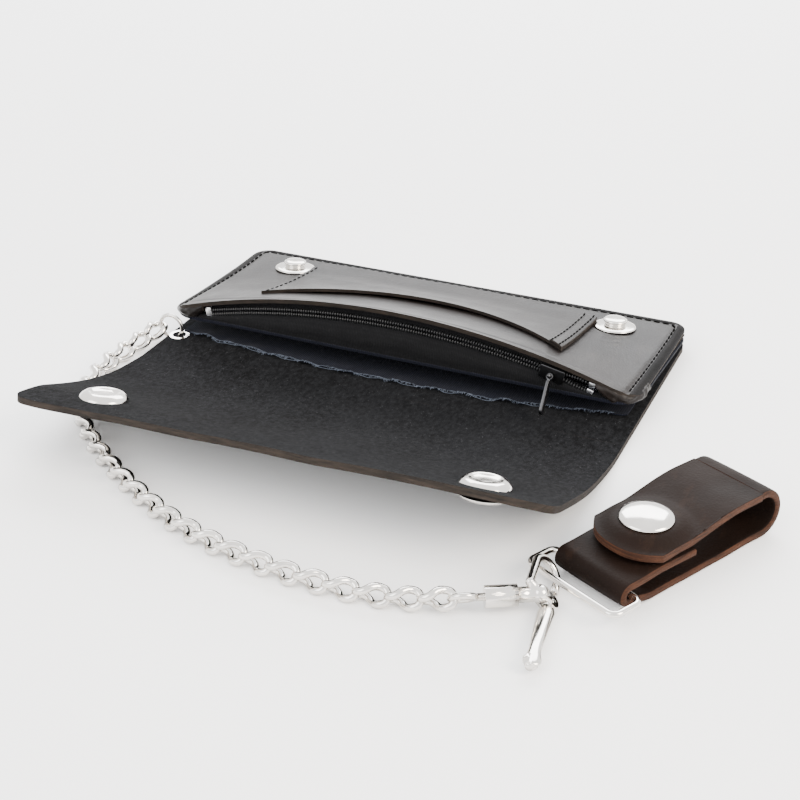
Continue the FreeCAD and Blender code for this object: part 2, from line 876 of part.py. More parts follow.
def joints_along(route, pitch, count):
    """Points a pitch apart, in a straight line from one to the next, along a smooth curve."""
    curve = Part.BSplineCurve()
    curve.interpolate([Vector(*p) for p in route])
    points = [curve.value(curve.FirstParameter)]
    low = curve.FirstParameter
    while len(points) <= count:
        high = curve.LastParameter
        start = points[-1]
        a, b = low, min(high, low + 1.5 * pitch * (high - low) / max(curve.length(low, high), pitch))
        for _ in range(50):
            mid = (a + b) / 2
            if (curve.value(mid) - start).Length < pitch:
                a = mid
            else:
                b = mid
        low = (a + b) / 2
        points.append(curve.value(low))
    return points


link = chain_link()
link_count = sum(CHAIN_RUNS)
link_settle = 15.0  # each link near the ring rolls this much more than the one after it
hook_past = (S.ring_wire - S.link_slack) / 2
chain_start = ring_centre - X * ring_radius + Y * hook_past
chain_joints = joints_along([tuple(chain_start)] + CHAIN_ROUTE, S.link_pitch, link_count)
first = 0
for number, count in enumerate(CHAIN_RUNS, start=1):
    links = []
    for i in range(first, first + count):
        a, b = chain_joints[i], chain_joints[i + 1]
        copy = link.copy()
        roll = Rotation(X, max(0, S.link_tilt - link_settle * i))
        copy.Placement = Placement((a + b) * 0.5, frame((b - a).normalize(), Z).multiply(roll))
        links.append(copy)
    node(f"chain_run_{number}", solid(f"chain_run_{number}_links", Part.makeCompound(links)))
    first += count

# --- swivel and clasp ----------------------------------------------------------------------
chain_end = chain_joints[-1]
turn = math.radians(S.swivel_turn)
swivel_dir = Vector(math.cos(turn), math.sin(turn), 0)
eye_radius_mean = S.eye_mean / 2
half_slack = (S.link_wire / 2 + S.eye_wire / 2 + S.link_slack) / 2
eye_centre = chain_end + swivel_dir * (eye_radius_mean - half_slack)
eye_turn = frame(swivel_dir, Vector(0, 0, 1)).multiply(Rotation(X, -S.link_tilt))


def along(distance):
    return eye_centre + swivel_dir * distance


stem_start = eye_radius_mean
collar_start = stem_start + S.eye_wire / 2 + S.collar_gap
collar_end = collar_start + S.collar_long
head_start = collar_start + S.collar_wall + 0.3
stem = rod("stem", "Sizes.stem_dia", along(stem_start), along(head_start + 0.2))
stem_head = cylinder(
    "stem_head", "Sizes.stem_head_dia", "Sizes.stem_head_thick", along(head_start), swivel_dir
)
swivel_eye = fuse(
    "swivel_eye_solid",
    ring("eye_ring", "Sizes.eye_mean", "Sizes.eye_wire", eye_centre, eye_turn),
    stem,
    stem_head,
)
node("swivel_eye", swivel_eye)

hub = along(S.clasp_reach)
long_turn = math.radians(S.clasp_turn)
u = Vector(math.cos(long_turn), math.sin(long_turn), 0)
flat = Vector(math.sin(long_turn), -math.cos(long_turn), 0)
tilt = math.radians(S.clasp_tilt)
v = flat * math.cos(tilt) - Z * math.sin(tilt)
n = u.cross(v)


def on_clasp(a, b, c=0.0):
    """A point of the clasp: a along the hook, b across it, c out of its plane, from its hub."""
    return hub + u * a + v * b + n * c


hook_half = S.hook_wide / 2
arc_turn = Rotation(v, u, v.cross(u), "ZXY")
collar = cylinder("collar", "Sizes.collar_dia", "Sizes.collar_long", along(collar_start), swivel_dir)
neck = rod("neck", "Sizes.neck_dia", along(collar_end - 1), hub)
hub_ball = ball("hub_ball", "Sizes.neck_dia + 0.8", hub)
cross_bar = rod("cross_bar", "Sizes.hook_wire + 0.2", hub, on_clasp(0, -hook_half))
elbow = ball("elbow", "Sizes.hook_wire + 0.2", on_clasp(0, -hook_half))
leg = rod("leg", "Sizes.hook_wire", on_clasp(0, -hook_half), on_clasp(S.hook_leg, -hook_half))
bend = ring(
    "hook_bend", "Sizes.hook_wide", "Sizes.hook_wire", on_clasp(S.hook_leg, 0), arc_turn, 180
)
tip_at = S.hook_leg - S.hook_tip_leg
tip = rod("hook_tip", "Sizes.hook_wire", on_clasp(S.hook_leg, hook_half), on_clasp(tip_at, hook_half))
pin_b = S.lever_pivot_out
ear_off = S.lever_thick / 2 + S.ear_gap
ears = []
for sign in (-1, 1):
    low = ear_off if sign > 0 else -ear_off - S.ear_thick
    ears.append(
        cylinder(f"ear{sign}", "Sizes.lever_knuckle", "Sizes.ear_thick", on_clasp(0, pin_b, low), n)
    )
    ears.append(
        box(
            f"ear_plate{sign}",
            f"{S.lever_knuckle * 0.9}",
            f"{pin_b}",
            "Sizes.ear_thick",
            on_clasp(-S.lever_knuckle * 0.45, 0, low),
            Rotation(u, v, n, "ZXY"),
        )
    )
stem_bore = cylinder(
    "stem_bore",
    "Sizes.stem_dia + 2 * Sizes.stem_play",
    "Sizes.collar_long",
    along(collar_start - 1),
    swivel_dir,
)
head_room = cylinder(
    "head_room",
    "Sizes.stem_head_dia + 0.4",
    "Sizes.stem_head_thick + 0.6",
    along(head_start - 0.3),
    swivel_dir,
)
pin_hole = rod("pin_hole", "Sizes.lever_pin_dia", on_clasp(0, pin_b, -5), on_clasp(0, pin_b, 5))
knuckle_room = cylinder(
    "knuckle_room",
    "Sizes.lever_knuckle + 0.6",
    f"{2 * ear_off}",
    on_clasp(0, pin_b, -ear_off),
    n,
)
clasp_blank = fuse("clasp_blank", collar, neck, hub_ball, cross_bar, elbow, leg, bend, tip, *ears)
clasp = cut("clasp_cut", clasp_blank, stem_bore, head_room, pin_hole, knuckle_room)
node("clasp_body", clasp)
node(
    "lever_pin",
    rod(
        "lever_pin_rod",
        "Sizes.lever_pin_dia",
        on_clasp(0, pin_b, -ear_off - S.ear_thick),
        on_clasp(0, pin_b, ear_off + S.ear_thick),
    ),
)
gate_end = tip_at - S.gate_gap
knuckle_disc = cylinder(
    "knuckle_disc", "Sizes.lever_knuckle", "Sizes.lever_thick", on_clasp(0, pin_b, -S.lever_thick / 2), n
)
gate = rod("gate", "Sizes.gate_wire", on_clasp(0.6, pin_b), on_clasp(gate_end, hook_half))
tail_end = on_clasp(0, pin_b) - u * S.lever_long + Z * 0.9
tail = rod("tail", "Sizes.gate_wire", on_clasp(-0.6, pin_b), tail_end)
paddle_at = tail_end + u * S.lever_tip_wide / 2
paddle = cylinder("paddle", "Sizes.lever_tip_wide", "1.4", paddle_at - n * 0.7, n)
pin_bore = rod(
    "pin_bore",
    "Sizes.lever_pin_dia + 2 * Sizes.lever_pin_play",
    on_clasp(0, pin_b, -3),
    on_clasp(0, pin_b, 3),
)
lever = cut("lever_cut", fuse("lever_blank", knuckle_disc, gate, tail, paddle), pin_bore)
node("trigger_lever", lever)

# --- belt loop -----------------------------------------------------------------------------
strap_turn = math.radians(S.strap_turn)
away = Vector(math.cos(strap_turn), math.sin(strap_turn), 0)
across = Vector(math.sin(strap_turn), -math.cos(strap_turn), 0)
hook_mid = on_clasp(S.hook_leg - 0.6, 0)
front_mid = Vector(hook_mid.x, hook_mid.y, S.loop_high) + across * S.loop_past_hook
back_mid = front_mid + away * S.loop_deep
loop_turn = Rotation(across, away, Z, "ZXY")


def loop_shape():
    """A rectangle of wire with round corners, about its front bar's middle, in the XY plane."""
    half, deep, corner = S.loop_long / 2, S.loop_deep, S.loop_corner
    wire = S.loop_wire / 2
    pieces = []
    for side in (-1, 1):
        for near, y in ((-1, 0), (1, deep)):
            quarter = Part.makeTorus(corner, wire, Vector(), Z, 0, 360, 90)
            angle = {(1, 1): 0, (-1, 1): 90, (-1, -1): 180, (1, -1): 270}[side, near]
            quarter.rotate(Vector(), Z, angle)
            quarter.translate(Vector(side * (half - corner), y - near * corner, 0))
            pieces.append(quarter)
        x = side * half
        pieces.append(rigid_rod(S.loop_wire, Vector(x, corner, 0), Vector(x, deep - corner, 0)))
    for y in (0, deep):
        a, b = Vector(-half + corner, y, 0), Vector(half - corner, y, 0)
        pieces.append(rigid_rod(S.loop_wire, a, b))
    return pieces[0].multiFuse(pieces[1:]).removeSplitter()


node("loop_ring", solid("loop_ring_wire", loop_shape(), Placement(front_mid, loop_turn)))

roll_mid = S.loop_wire / 2 + S.strap_roll_play + S.strap_thick / 2
fold_radius = S.strap_fold_rise / 2
low_mid = S.strap_thick / 2 - S.loop_high
strap_half = S.strap_thick / 2


def offset_path(side):
    """The strap's long profile on one side of its mid line; s runs away from the ring."""
    d = strap_half * side
    roll = roll_mid + d
    far = fold_radius + d
    fold_z = low_mid + fold_radius
    return roll, far, fold_z


roll_out, far_out, fold_z = offset_path(1)
roll_in, far_in, fold_z = offset_path(-1)
strap_steps = [
    Vector(S.strap_return, roll_out),
    Vector(0, roll_out),
    (Vector(-roll_out, 0), Vector(0, -roll_out)),
    Vector(S.strap_ease, low_mid - strap_half),
    Vector(S.strap_long, fold_z - far_out),
    (Vector(S.strap_long + far_out, fold_z), Vector(S.strap_long, fold_z + far_out)),
    Vector(S.strap_long, fold_z + far_in),
    (Vector(S.strap_long + far_in, fold_z), Vector(S.strap_long, fold_z - far_in)),
    Vector(S.strap_ease, low_mid + strap_half),
    Vector(0, -roll_in),
    (Vector(-roll_in, 0), Vector(0, roll_in)),
    Vector(S.strap_return, roll_in),
]
strap_frame = Rotation(away, -across, Z, "ZXY")
strap_centre = back_mid - across * S.strap_shift
strap_blank = pad(
    "strap_blank",
    "XZ_Plane",
    strap_steps,
    "Sizes.strap_wide",
    Placement(strap_centre, strap_frame),
    midplane=True,
)


def on_strap(s, q, z):
    """A point of the belt loop: s away from the ring, q across, z above the ring's bar."""
    return strap_centre + away * s + across * q + Z * z


snap_s = S.strap_snap_at
inner_top = roll_out
strap_hole = cylinder(
    "strap_hole",
    "Sizes.post_dia + 2 * Sizes.post_play",
    "Sizes.strap_thick * 3",
    on_strap(snap_s, 0, inner_top - S.strap_thick * 2),
)
node("strap_base", cut("strap_base_cut", strap_blank, strap_hole))

tab_mid = fold_z + fold_radius
tab_low = tab_mid - strap_half
tab_knuckle = strap_half + S.leather_gap
tab_hinge_s = S.strap_long - tab_knuckle
tab_steps = [
    Vector(tab_hinge_s, tab_low),
    (Vector(tab_hinge_s + strap_half, tab_mid), Vector(tab_hinge_s, tab_low + S.strap_thick)),
    Vector(S.strap_tab_end, tab_low + S.strap_thick),
    Vector(S.strap_tab_end, tab_low),
]
tab_blank = pad(
    "tab_blank",
    "XZ_Plane",
    tab_steps,
    "Sizes.strap_wide",
    Placement(strap_centre, strap_frame),
    midplane=True,
)
tab_half = S.strap_wide / 2
tab_plan_steps = [
    Vector(S.strap_tab_end + tab_half * 0.6, -tab_half),
    Vector(S.strap_long + S.strap_thick, -tab_half),
    Vector(S.strap_long + S.strap_thick, tab_half),
    Vector(S.strap_tab_end + tab_half * 0.6, tab_half),
    (Vector(S.strap_tab_end, 0), Vector(S.strap_tab_end + tab_half * 0.6, -tab_half)),
]
tab_plan = pad(
    "tab_plan",
    "XY_Plane",
    tab_plan_steps,
    "Sizes.strap_thick * 4",
    Placement(strap_centre + Z * (tab_mid - S.strap_thick * 2), strap_frame),
)
tab_hole = cylinder(
    "tab_hole",
    "Sizes.post_dia + 2 * Sizes.post_play",
    "Sizes.strap_thick * 3",
    on_strap(snap_s, 0, tab_low - S.strap_thick),
)
node("strap_tab", cut("strap_tab_cut", common("tab_trim", tab_blank, tab_plan), tab_hole))
node("strap_snap_stud", stud("strap_stud", on_strap(snap_s, 0, inner_top), Z))
node(
    "strap_stud_rivet",
    rivet("strap_rivet", on_strap(snap_s, 0, inner_top - S.strap_thick - S.rivet_thick), Z),
)
node("strap_snap_socket", socket("strap_socket", on_strap(snap_s, 0, tab_low), -Z))
node("strap_snap_cap", cap("strap_cap", on_strap(snap_s, 0, tab_low + S.strap_thick), Z, S.strap_thick))

# --- check and write -------------------------------------------------------------------------
doc.recompute()
bad = [o.Name for o in doc.Objects if any(word in o.State for word in ("Invalid", "Error"))]
for label, feature in nodes.items():
    shape = feature.Shape
    if shape.isNull() or not shape.isValid() or not shape.Solids:
        bad.append(label)
if bad:
    raise RuntimeError("failed objects: " + ", ".join(bad))
os.makedirs("parts", exist_ok=True)
for label, feature in nodes.items():
    feature.Shape.exportStep(f"parts/{label}.step")
print(len(nodes), "nodes,", sum(len(f.Shape.Solids) for f in nodes.values()), "solids")
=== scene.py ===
import json
import math

import bmesh
import bpy
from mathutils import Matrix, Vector, noise


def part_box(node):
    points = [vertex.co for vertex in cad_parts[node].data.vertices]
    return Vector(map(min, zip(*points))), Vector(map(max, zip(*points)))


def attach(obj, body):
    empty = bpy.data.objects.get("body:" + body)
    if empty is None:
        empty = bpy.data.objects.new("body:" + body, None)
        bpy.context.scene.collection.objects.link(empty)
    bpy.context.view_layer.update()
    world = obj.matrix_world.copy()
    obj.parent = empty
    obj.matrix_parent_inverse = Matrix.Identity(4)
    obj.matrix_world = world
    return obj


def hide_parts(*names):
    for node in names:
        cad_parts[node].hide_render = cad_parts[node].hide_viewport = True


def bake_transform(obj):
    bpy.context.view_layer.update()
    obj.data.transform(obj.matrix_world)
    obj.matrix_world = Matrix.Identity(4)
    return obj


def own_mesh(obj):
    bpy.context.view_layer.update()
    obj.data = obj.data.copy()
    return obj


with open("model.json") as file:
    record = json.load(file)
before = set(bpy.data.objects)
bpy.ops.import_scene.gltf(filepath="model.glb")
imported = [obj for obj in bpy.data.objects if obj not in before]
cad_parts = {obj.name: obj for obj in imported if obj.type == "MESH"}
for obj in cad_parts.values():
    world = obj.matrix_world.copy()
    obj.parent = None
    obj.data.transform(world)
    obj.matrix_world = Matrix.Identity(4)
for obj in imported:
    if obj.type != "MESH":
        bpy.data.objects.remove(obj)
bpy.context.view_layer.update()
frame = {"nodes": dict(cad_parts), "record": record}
joints = {j["name"]: j for j in frame["record"]["behaviour"]["joints"]}

# All sizes below are in millimetres; meshes are scaled to metres when they are made.
MM = 0.001


def in_mm(point):
    return Vector(point) * 1000


def span(node):
    low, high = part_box(node)
    return in_mm(low), in_mm(high)


back_low, back_high = span("outer_back")
HALF = (back_high.x - back_low.x) / 2
DEEP = back_high.y
THICK = back_high.z - back_low.z
fold_one = in_mm(joints["spine_fold"]["pos_m"])
fold_two = in_mm(joints["flap_fold"]["pos_m"])
SEAM_Y = (fold_one.y + fold_two.y) / 2  # the spine's middle, where the two leather pieces meet
FLAP_RISE = math.radians(15.4)
FLAP_DEEP = 76.7
SNAP_REACH = 59.95  # along the flap, from the second fold to its snaps
SNAP_X = 64.3
PANEL_THICK = 1.6
PANEL_END = 12.3
PANEL_HUMP = 15.2
PANEL_BACK = 9.3
PANEL_BACK_HUMP = 2.0
PANEL_FLAT_FROM = 45.0
SLIP_HALF = 57.0
SLIP_FRONT = 14.0
SLIP_BACK = 56.0
SLIP_BOW = 22.0
REAR_CORNER = 6.5


# --- materials -----------------------------------------------------------------------------
class Finish:
    """A material under construction: Principled, with Object coordinates to hang patterns on."""

    def __init__(self, name, **inputs):
        self.material = bpy.data.materials.new(name)
        self.material.use_nodes = True
        self.tree = self.material.node_tree
        self.shader = self.tree.nodes["Principled BSDF"]
        self.place = self.tree.nodes.new("ShaderNodeTexCoord").outputs["Object"]
        for key, value in inputs.items():
            self.shader.inputs[key.replace("_", " ")].default_value = value

    def add(self, kind, links=(), **values):
        node = self.tree.nodes.new("ShaderNode" + kind)
        for key, value in values.items():
            if hasattr(node, key):
                setattr(node, key, value)
            else:
                node.inputs[key.replace("_", " ")].default_value = value
        for socket, source in dict(links).items():
            self.tree.links.new(source, node.inputs[socket])
        return node

    def grain(self, scale, detail=4.0, roughness=0.55, stretch=(1, 1, 1)):
        """Noise of that many cycles a metre."""
        mapped = self.add("Mapping", {"Vector": self.place})
        mapped.inputs["Scale"].default_value = stretch
        links = {"Vector": mapped.outputs["Vector"]}
        node = self.add("TexNoise", links, Scale=scale, Detail=detail, Roughness=roughness)
        return node.outputs["Fac"]

    def cells(self, scale, feature="F1"):
        node = self.add("TexVoronoi", {"Vector": self.place}, feature=feature, Scale=scale)
        return node.outputs["Distance"]

    def ramp(self, source, *stops):
        """A colour ramp of (position, colour or grey level) stops."""
        node = self.add("ValToRGB", {"Fac": source})
        elements = node.color_ramp.elements
        while len(elements) < len(stops):
            elements.new(0.5)
        for element, (at, colour) in zip(elements, stops):
            element.position = at
            level = (colour,) * 3 if isinstance(colour, (int, float)) else colour
            element.color = (*level, 1)
        return node.outputs["Color"]

    def mix(self, fac, a, b, blend="MIX"):
        node = self.add("Mix", data_type="RGBA", blend_type=blend)
        for index, value in ((0, fac), (6, a), (7, b)):
            if isinstance(value, bpy.types.NodeSocket):
                self.tree.links.new(value, node.inputs[index])
            elif index == 0:
                node.inputs[0].default_value = value
            else:
                node.inputs[index].default_value = (*value, 1)
        return node.outputs[2]

    def paint(self, colour):
        self.tree.links.new(colour, self.shader.inputs["Base Color"])

    def roughen(self, source, low, high):
        node = self.add("MapRange", {"Value": source}, To_Min=low, To_Max=high)
        self.tree.links.new(node.outputs["Result"], self.shader.inputs["Roughness"])

    def bumps(self, *layers):
        """Layers of (height, depth in millimetres), from the broadest to the finest."""
        normal = None
        for height, depth in layers:
            links = {"Height": height}
            if normal:
                links["Normal"] = normal
            node = self.add("Bump", links, Strength=1.0, Distance=depth * MM)
            normal = node.outputs["Normal"]
        self.tree.links.new(normal, self.shader.inputs["Normal"])
        return self.material


def smooth_leather(name, dark, light, scuff, low, high, shine=0.13):
    """Finished leather: fine pores, broad colour shifts and duller scuffs."""
    f = Finish(name, Specular_IOR_Level=shine)
    broad = f.grain(22, 3)
    colour = f.mix(f.ramp(broad, (0.35, 0), (0.7, 1)), dark, light)
    marks = f.grain(160, 6, 0.7, (1, 0.35, 1))
    f.paint(f.mix(f.ramp(marks, (0.56, 0), (0.75, 0.6)), colour, scuff))
    f.roughen(f.grain(70, 5), low, high)
    return f.bumps((f.grain(45, 3), 0.5), (f.cells(1150), 0.05), (f.grain(2600, 3), 0.03))


black_leather = smooth_leather(
    "waxed_black_leather", (0.004, 0.0036, 0.004), (0.009, 0.008, 0.008), (0.02, 0.017, 0.015), 0.36, 0.54
)
pocket_leather = smooth_leather(
    "soft_pocket_leather", (0.005, 0.0042, 0.004), (0.012, 0.0095, 0.0085), (0.025, 0.02, 0.017), 0.27, 0.46
)
# A darker, duller copy of the pocket leather: painted shade for the band where the panel turns down at its
# edges.
rim_shade_leather = smooth_leather(
    "painted_rim_shade", (0.003, 0.003, 0.003), (0.007, 0.006, 0.006), (0.014, 0.012, 0.011), 0.5, 0.68, 0.05
)
brown_leather = smooth_leather(
    "oiled_brown_leather",
    (0.0035, 0.002, 0.0014),
    (0.009, 0.0045, 0.003),
    (0.02, 0.01, 0.006),
    0.5,
    0.7,
    0.06,
)


def flesh_side():
    """The rough inside of the hide: nap fibres, pale specks and dark stains."""
    f = Finish("flesh_side", Roughness=0.95, Specular_IOR_Level=0.04, Sheen_Weight=0.012, Sheen_Roughness=0.5)
    broad = f.ramp(f.grain(28, 4), (0.3, (0.0012, 0.0012, 0.0014)), (0.75, (0.0055, 0.0057, 0.0066)))
    nap = f.grain(750, 8, 0.75, (1, 0.6, 1))
    fibres = f.mix(f.ramp(nap, (0.42, 0), (0.68, 1)), broad, (0.013, 0.0135, 0.015))
    specks = f.ramp(f.grain(1500, 2), (0.68, 0), (0.74, 1))
    f.paint(f.mix(specks, fibres, (0.05, 0.05, 0.054)))
    return f.bumps((f.grain(60, 3), 0.5), (nap, 0.45), (f.grain(2400, 4), 0.15))


def raw_edge(name, dark, light):
    """A cut edge: fibres in layers along the hide."""
    f = Finish(name, Roughness=0.8, Specular_IOR_Level=0.15)
    layers = f.grain(500, 6, 0.7, (0.25, 0.25, 3))
    f.paint(f.ramp(layers, (0.3, dark), (0.7, light)))
    return f.bumps((layers, 0.25), (f.grain(1800, 4), 0.12))


def woven(name, dark, light, threads):
    """Plain weave, with a thread count in cycles a metre."""
    f = Finish(name, Roughness=0.9, Specular_IOR_Level=0.12, Sheen_Weight=0.02)
    waves = []
    for axis in ("X", "Y"):
        node = f.add("TexWave", {"Vector": f.place}, bands_direction=axis, Scale=threads, Distortion=0.6)
        waves.append(node.outputs["Fac"])
    weave = f.mix(0.5, waves[0], waves[1], "MULTIPLY")
    f.paint(f.mix(f.grain(200, 4), f.mix(weave, dark, light), dark))
    return f.bumps((f.grain(90, 3), 0.4), (weave, 0.12))


def plated(name, colour, low, high):
    """Plated metal with fine hairlines and small dents."""
    f = Finish(name, Metallic=1.0)
    f.paint(f.ramp(f.grain(120, 5), (0.3, [c * 0.82 for c in colour]), (0.7, colour)))
    f.roughen(f.grain(900, 4, 0.6, (1, 1, 0.2)), low, high)
    return f.bumps((f.grain(260, 3), 0.05))


flesh = flesh_side()
black_edge = raw_edge("black_cut_edge", (0.005, 0.0045, 0.004), (0.03, 0.022, 0.017))
brown_edge = raw_edge("brown_cut_edge", (0.009, 0.0045, 0.003), (0.06, 0.022, 0.010))
lining_cloth = woven("lining_cloth", (0.003, 0.0035, 0.007), (0.012, 0.015, 0.026), 420)
zip_tape = woven("zip_tape", (0.004, 0.004, 0.0045), (0.014, 0.014, 0.015), 520)
nickel = plated("nickel_plate", (0.74, 0.71, 0.67), 0.08, 0.2)
gunmetal = plated("gunmetal", (0.06, 0.06, 0.063), 0.25, 0.4)
bright_zinc = plated("bright_zinc", (0.92, 0.93, 0.95), 0.25, 0.4)


def nylon():
    f = Finish("coil_nylon", Base_Color=(0.014, 0.014, 0.015, 1), Specular_IOR_Level=0.55)
    f.roughen(f.grain(900), 0.28, 0.45)
    return f.bumps((f.grain(3000), 0.02))


def waxed_thread(name, colour):
    f = Finish(name, Base_Color=(*colour, 1), Specular_IOR_Level=0.05)
    f.roughen(f.grain(1500), 0.75, 0.95)
    return f.bumps((f.grain(2600, 2, 0.5, (1, 1, 1)), 0.06))


coil_nylon = nylon()
thread = waxed_thread("waxed_thread", (0.002, 0.0018, 0.0018))


# --- mesh helpers --------------------------------------------------------------------------
def finished(name, vertices, faces, materials, slots=None, smooth=True):
    """A mesh object from millimetre points, with its place in its mesh."""
    mesh = bpy.data.meshes.new(name)
    mesh.from_pydata([Vector(v) * MM for v in vertices], [], faces)
    for material in materials:
        mesh.materials.append(material)
    if slots:
        mesh.polygons.foreach_set("material_index", slots)
    if smooth:
        mesh.polygons.foreach_set("use_smooth", [True] * len(mesh.polygons))
        mesh.set_sharp_from_angle(angle=math.radians(48))
    mesh.update()
    obj = bpy.data.objects.new(name, mesh)
    bpy.context.scene.collection.objects.link(obj)
    return obj


def apply_modifiers(obj):
    """Bake what the modifiers make into the mesh."""
    graph = bpy.context.evaluated_depsgraph_get()
    graph.update()
    mesh = bpy.data.meshes.new_from_object(obj.evaluated_get(graph))
    obj.modifiers.clear()
    obj.data = mesh
    return obj


def sheet_of(name, us, vs, top, bottom, materials, bevel=0.45):
    """A closed sheet between two surfaces; us and vs run over the grid and the rim is a cut edge."""
    vertices = [top(u, v) for v in vs for u in us] + [bottom(u, v) for v in vs for u in us]
    wide, deep = len(us), len(vs)
    under = wide * deep
    faces, slots = [], []
    for j in range(deep - 1):
        for i in range(wide - 1):
            a = j * wide + i
            faces.append((a, a + 1, a + wide + 1, a + wide))
            faces.append(tuple(under + k for k in (a, a + wide, a + wide + 1, a + 1)))
            slots += [0, 1]
    loop = [i for i in range(wide)]
    loop += [j * wide + wide - 1 for j in range(1, deep)]
    loop += [(deep - 1) * wide + i for i in range(wide - 2, -1, -1)]
    loop += [j * wide for j in range(deep - 2, 0, -1)]
    for a, b in zip(loop, loop[1:] + loop[:1]):
        faces.append((b, a, under + a, under + b))
        slots.append(2)
    obj = finished(name, vertices, faces, materials, slots)
    if bevel:
        mod = obj.modifiers.new("round_edge", "BEVEL")
        mod.width = bevel * MM
        mod.segments = 2
        mod.angle_limit = math.radians(50)
        mod.material = -1
        apply_modifiers(obj)
    return obj


def outward(obj):
    """Turn every face's normal outwards."""
    shape = bmesh.new()
    shape.from_mesh(obj.data)
    bmesh.ops.recalc_face_normals(shape, faces=shape.faces)
    shape.to_mesh(obj.data)
    shape.free()


def steps(a, b, n):
    return [a + (b - a) * i / n for i in range(n + 1)]


def gentle(t):
    """Eased step from 0 to 1."""
    t = min(max(t, 0), 1)
    return t * t * (3 - 2 * t)


def crowded(a, b, n):
    """Steps that close up towards both ends, for round corners."""
    return [a + (b - a) * (0.5 - 0.5 * math.cos(math.pi * i / n)) for i in range(n + 1)]


def inset_at(x, half, radius):
    """How far a round corner pulls the edge in at x."""
    over = abs(x) - (half - radius)
    if over <= 0:
        return 0.0
    return radius - math.sqrt(max(radius**2 - over**2, 0))


def wobble(x, y, size, wave=30.0, seed=0.0):
    return size * noise.noise(Vector((x / wave, y / wave, seed)))


def refined(node, material, bevel=0.0, name=None):
    """A CAD node's shape with its loose triangles merged, its edges eased and smooth shading."""
    mesh = frame["nodes"][node].data.copy()
    bm = bmesh.new()
    bm.from_mesh(mesh)
    bmesh.ops.remove_doubles(bm, verts=bm.verts, dist=1e-6)
    if bevel:
        bmesh.ops.dissolve_limit(bm, angle_limit=math.radians(1), verts=bm.verts, edges=bm.edges)
    bm.to_mesh(mesh)
    bm.free()
    mesh.materials.clear()
    mesh.materials.append(material)
    mesh.polygons.foreach_set("use_smooth", [True] * len(mesh.polygons))
    mesh.polygons.foreach_set("material_index", [0] * len(mesh.polygons))
    mesh.set_sharp_from_angle(angle=math.radians(35))
    obj = bpy.data.objects.new(name or node + "_piece", mesh)
    bpy.context.scene.collection.objects.link(obj)
    if bevel:
        mod = obj.modifiers.new("ease", "BEVEL")
        mod.width = bevel * MM
        mod.segments = 3
        mod.angle_limit = math.radians(40)
        apply_modifiers(obj)
        obj.data.set_sharp_from_angle(angle=math.radians(60))
    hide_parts(node)
    return obj


def turned_piece(name, profile, at, axis, material, rounds=48):
    """A lathe-turned piece: profile is (radius, height) points from the axis out and back to it."""
    turn = Vector((0, 0, 1)).rotation_difference(axis).to_matrix()
    vertices, faces = [], []
    for i in range(rounds):
        a = 2 * math.pi * i / rounds
        for r, h in profile[1:-1]:
            vertices.append(at + turn @ Vector((r * math.cos(a), r * math.sin(a), h)))
    rows = len(profile) - 2
    for i in range(rounds):
        j = (i + 1) % rounds
        for k in range(rows - 1):
            faces.append((i * rows + k, j * rows + k, j * rows + k + 1, i * rows + k + 1))
    for end, k, order in ((profile[0], 0, 1), (profile[-1], rows - 1, -1)):
        centre = len(vertices)
        vertices.append(at + turn @ Vector((0, 0, end[1])))
        for i in range(rounds):
            j = (i + 1) % rounds
            tri = (centre, j * rows + k, i * rows + k)
            faces.append(tri if order > 0 else tri[::-1])
    obj = finished(name, vertices, faces, [material])
    obj.data.set_sharp_from_angle(angle=math.radians(75))
    return obj


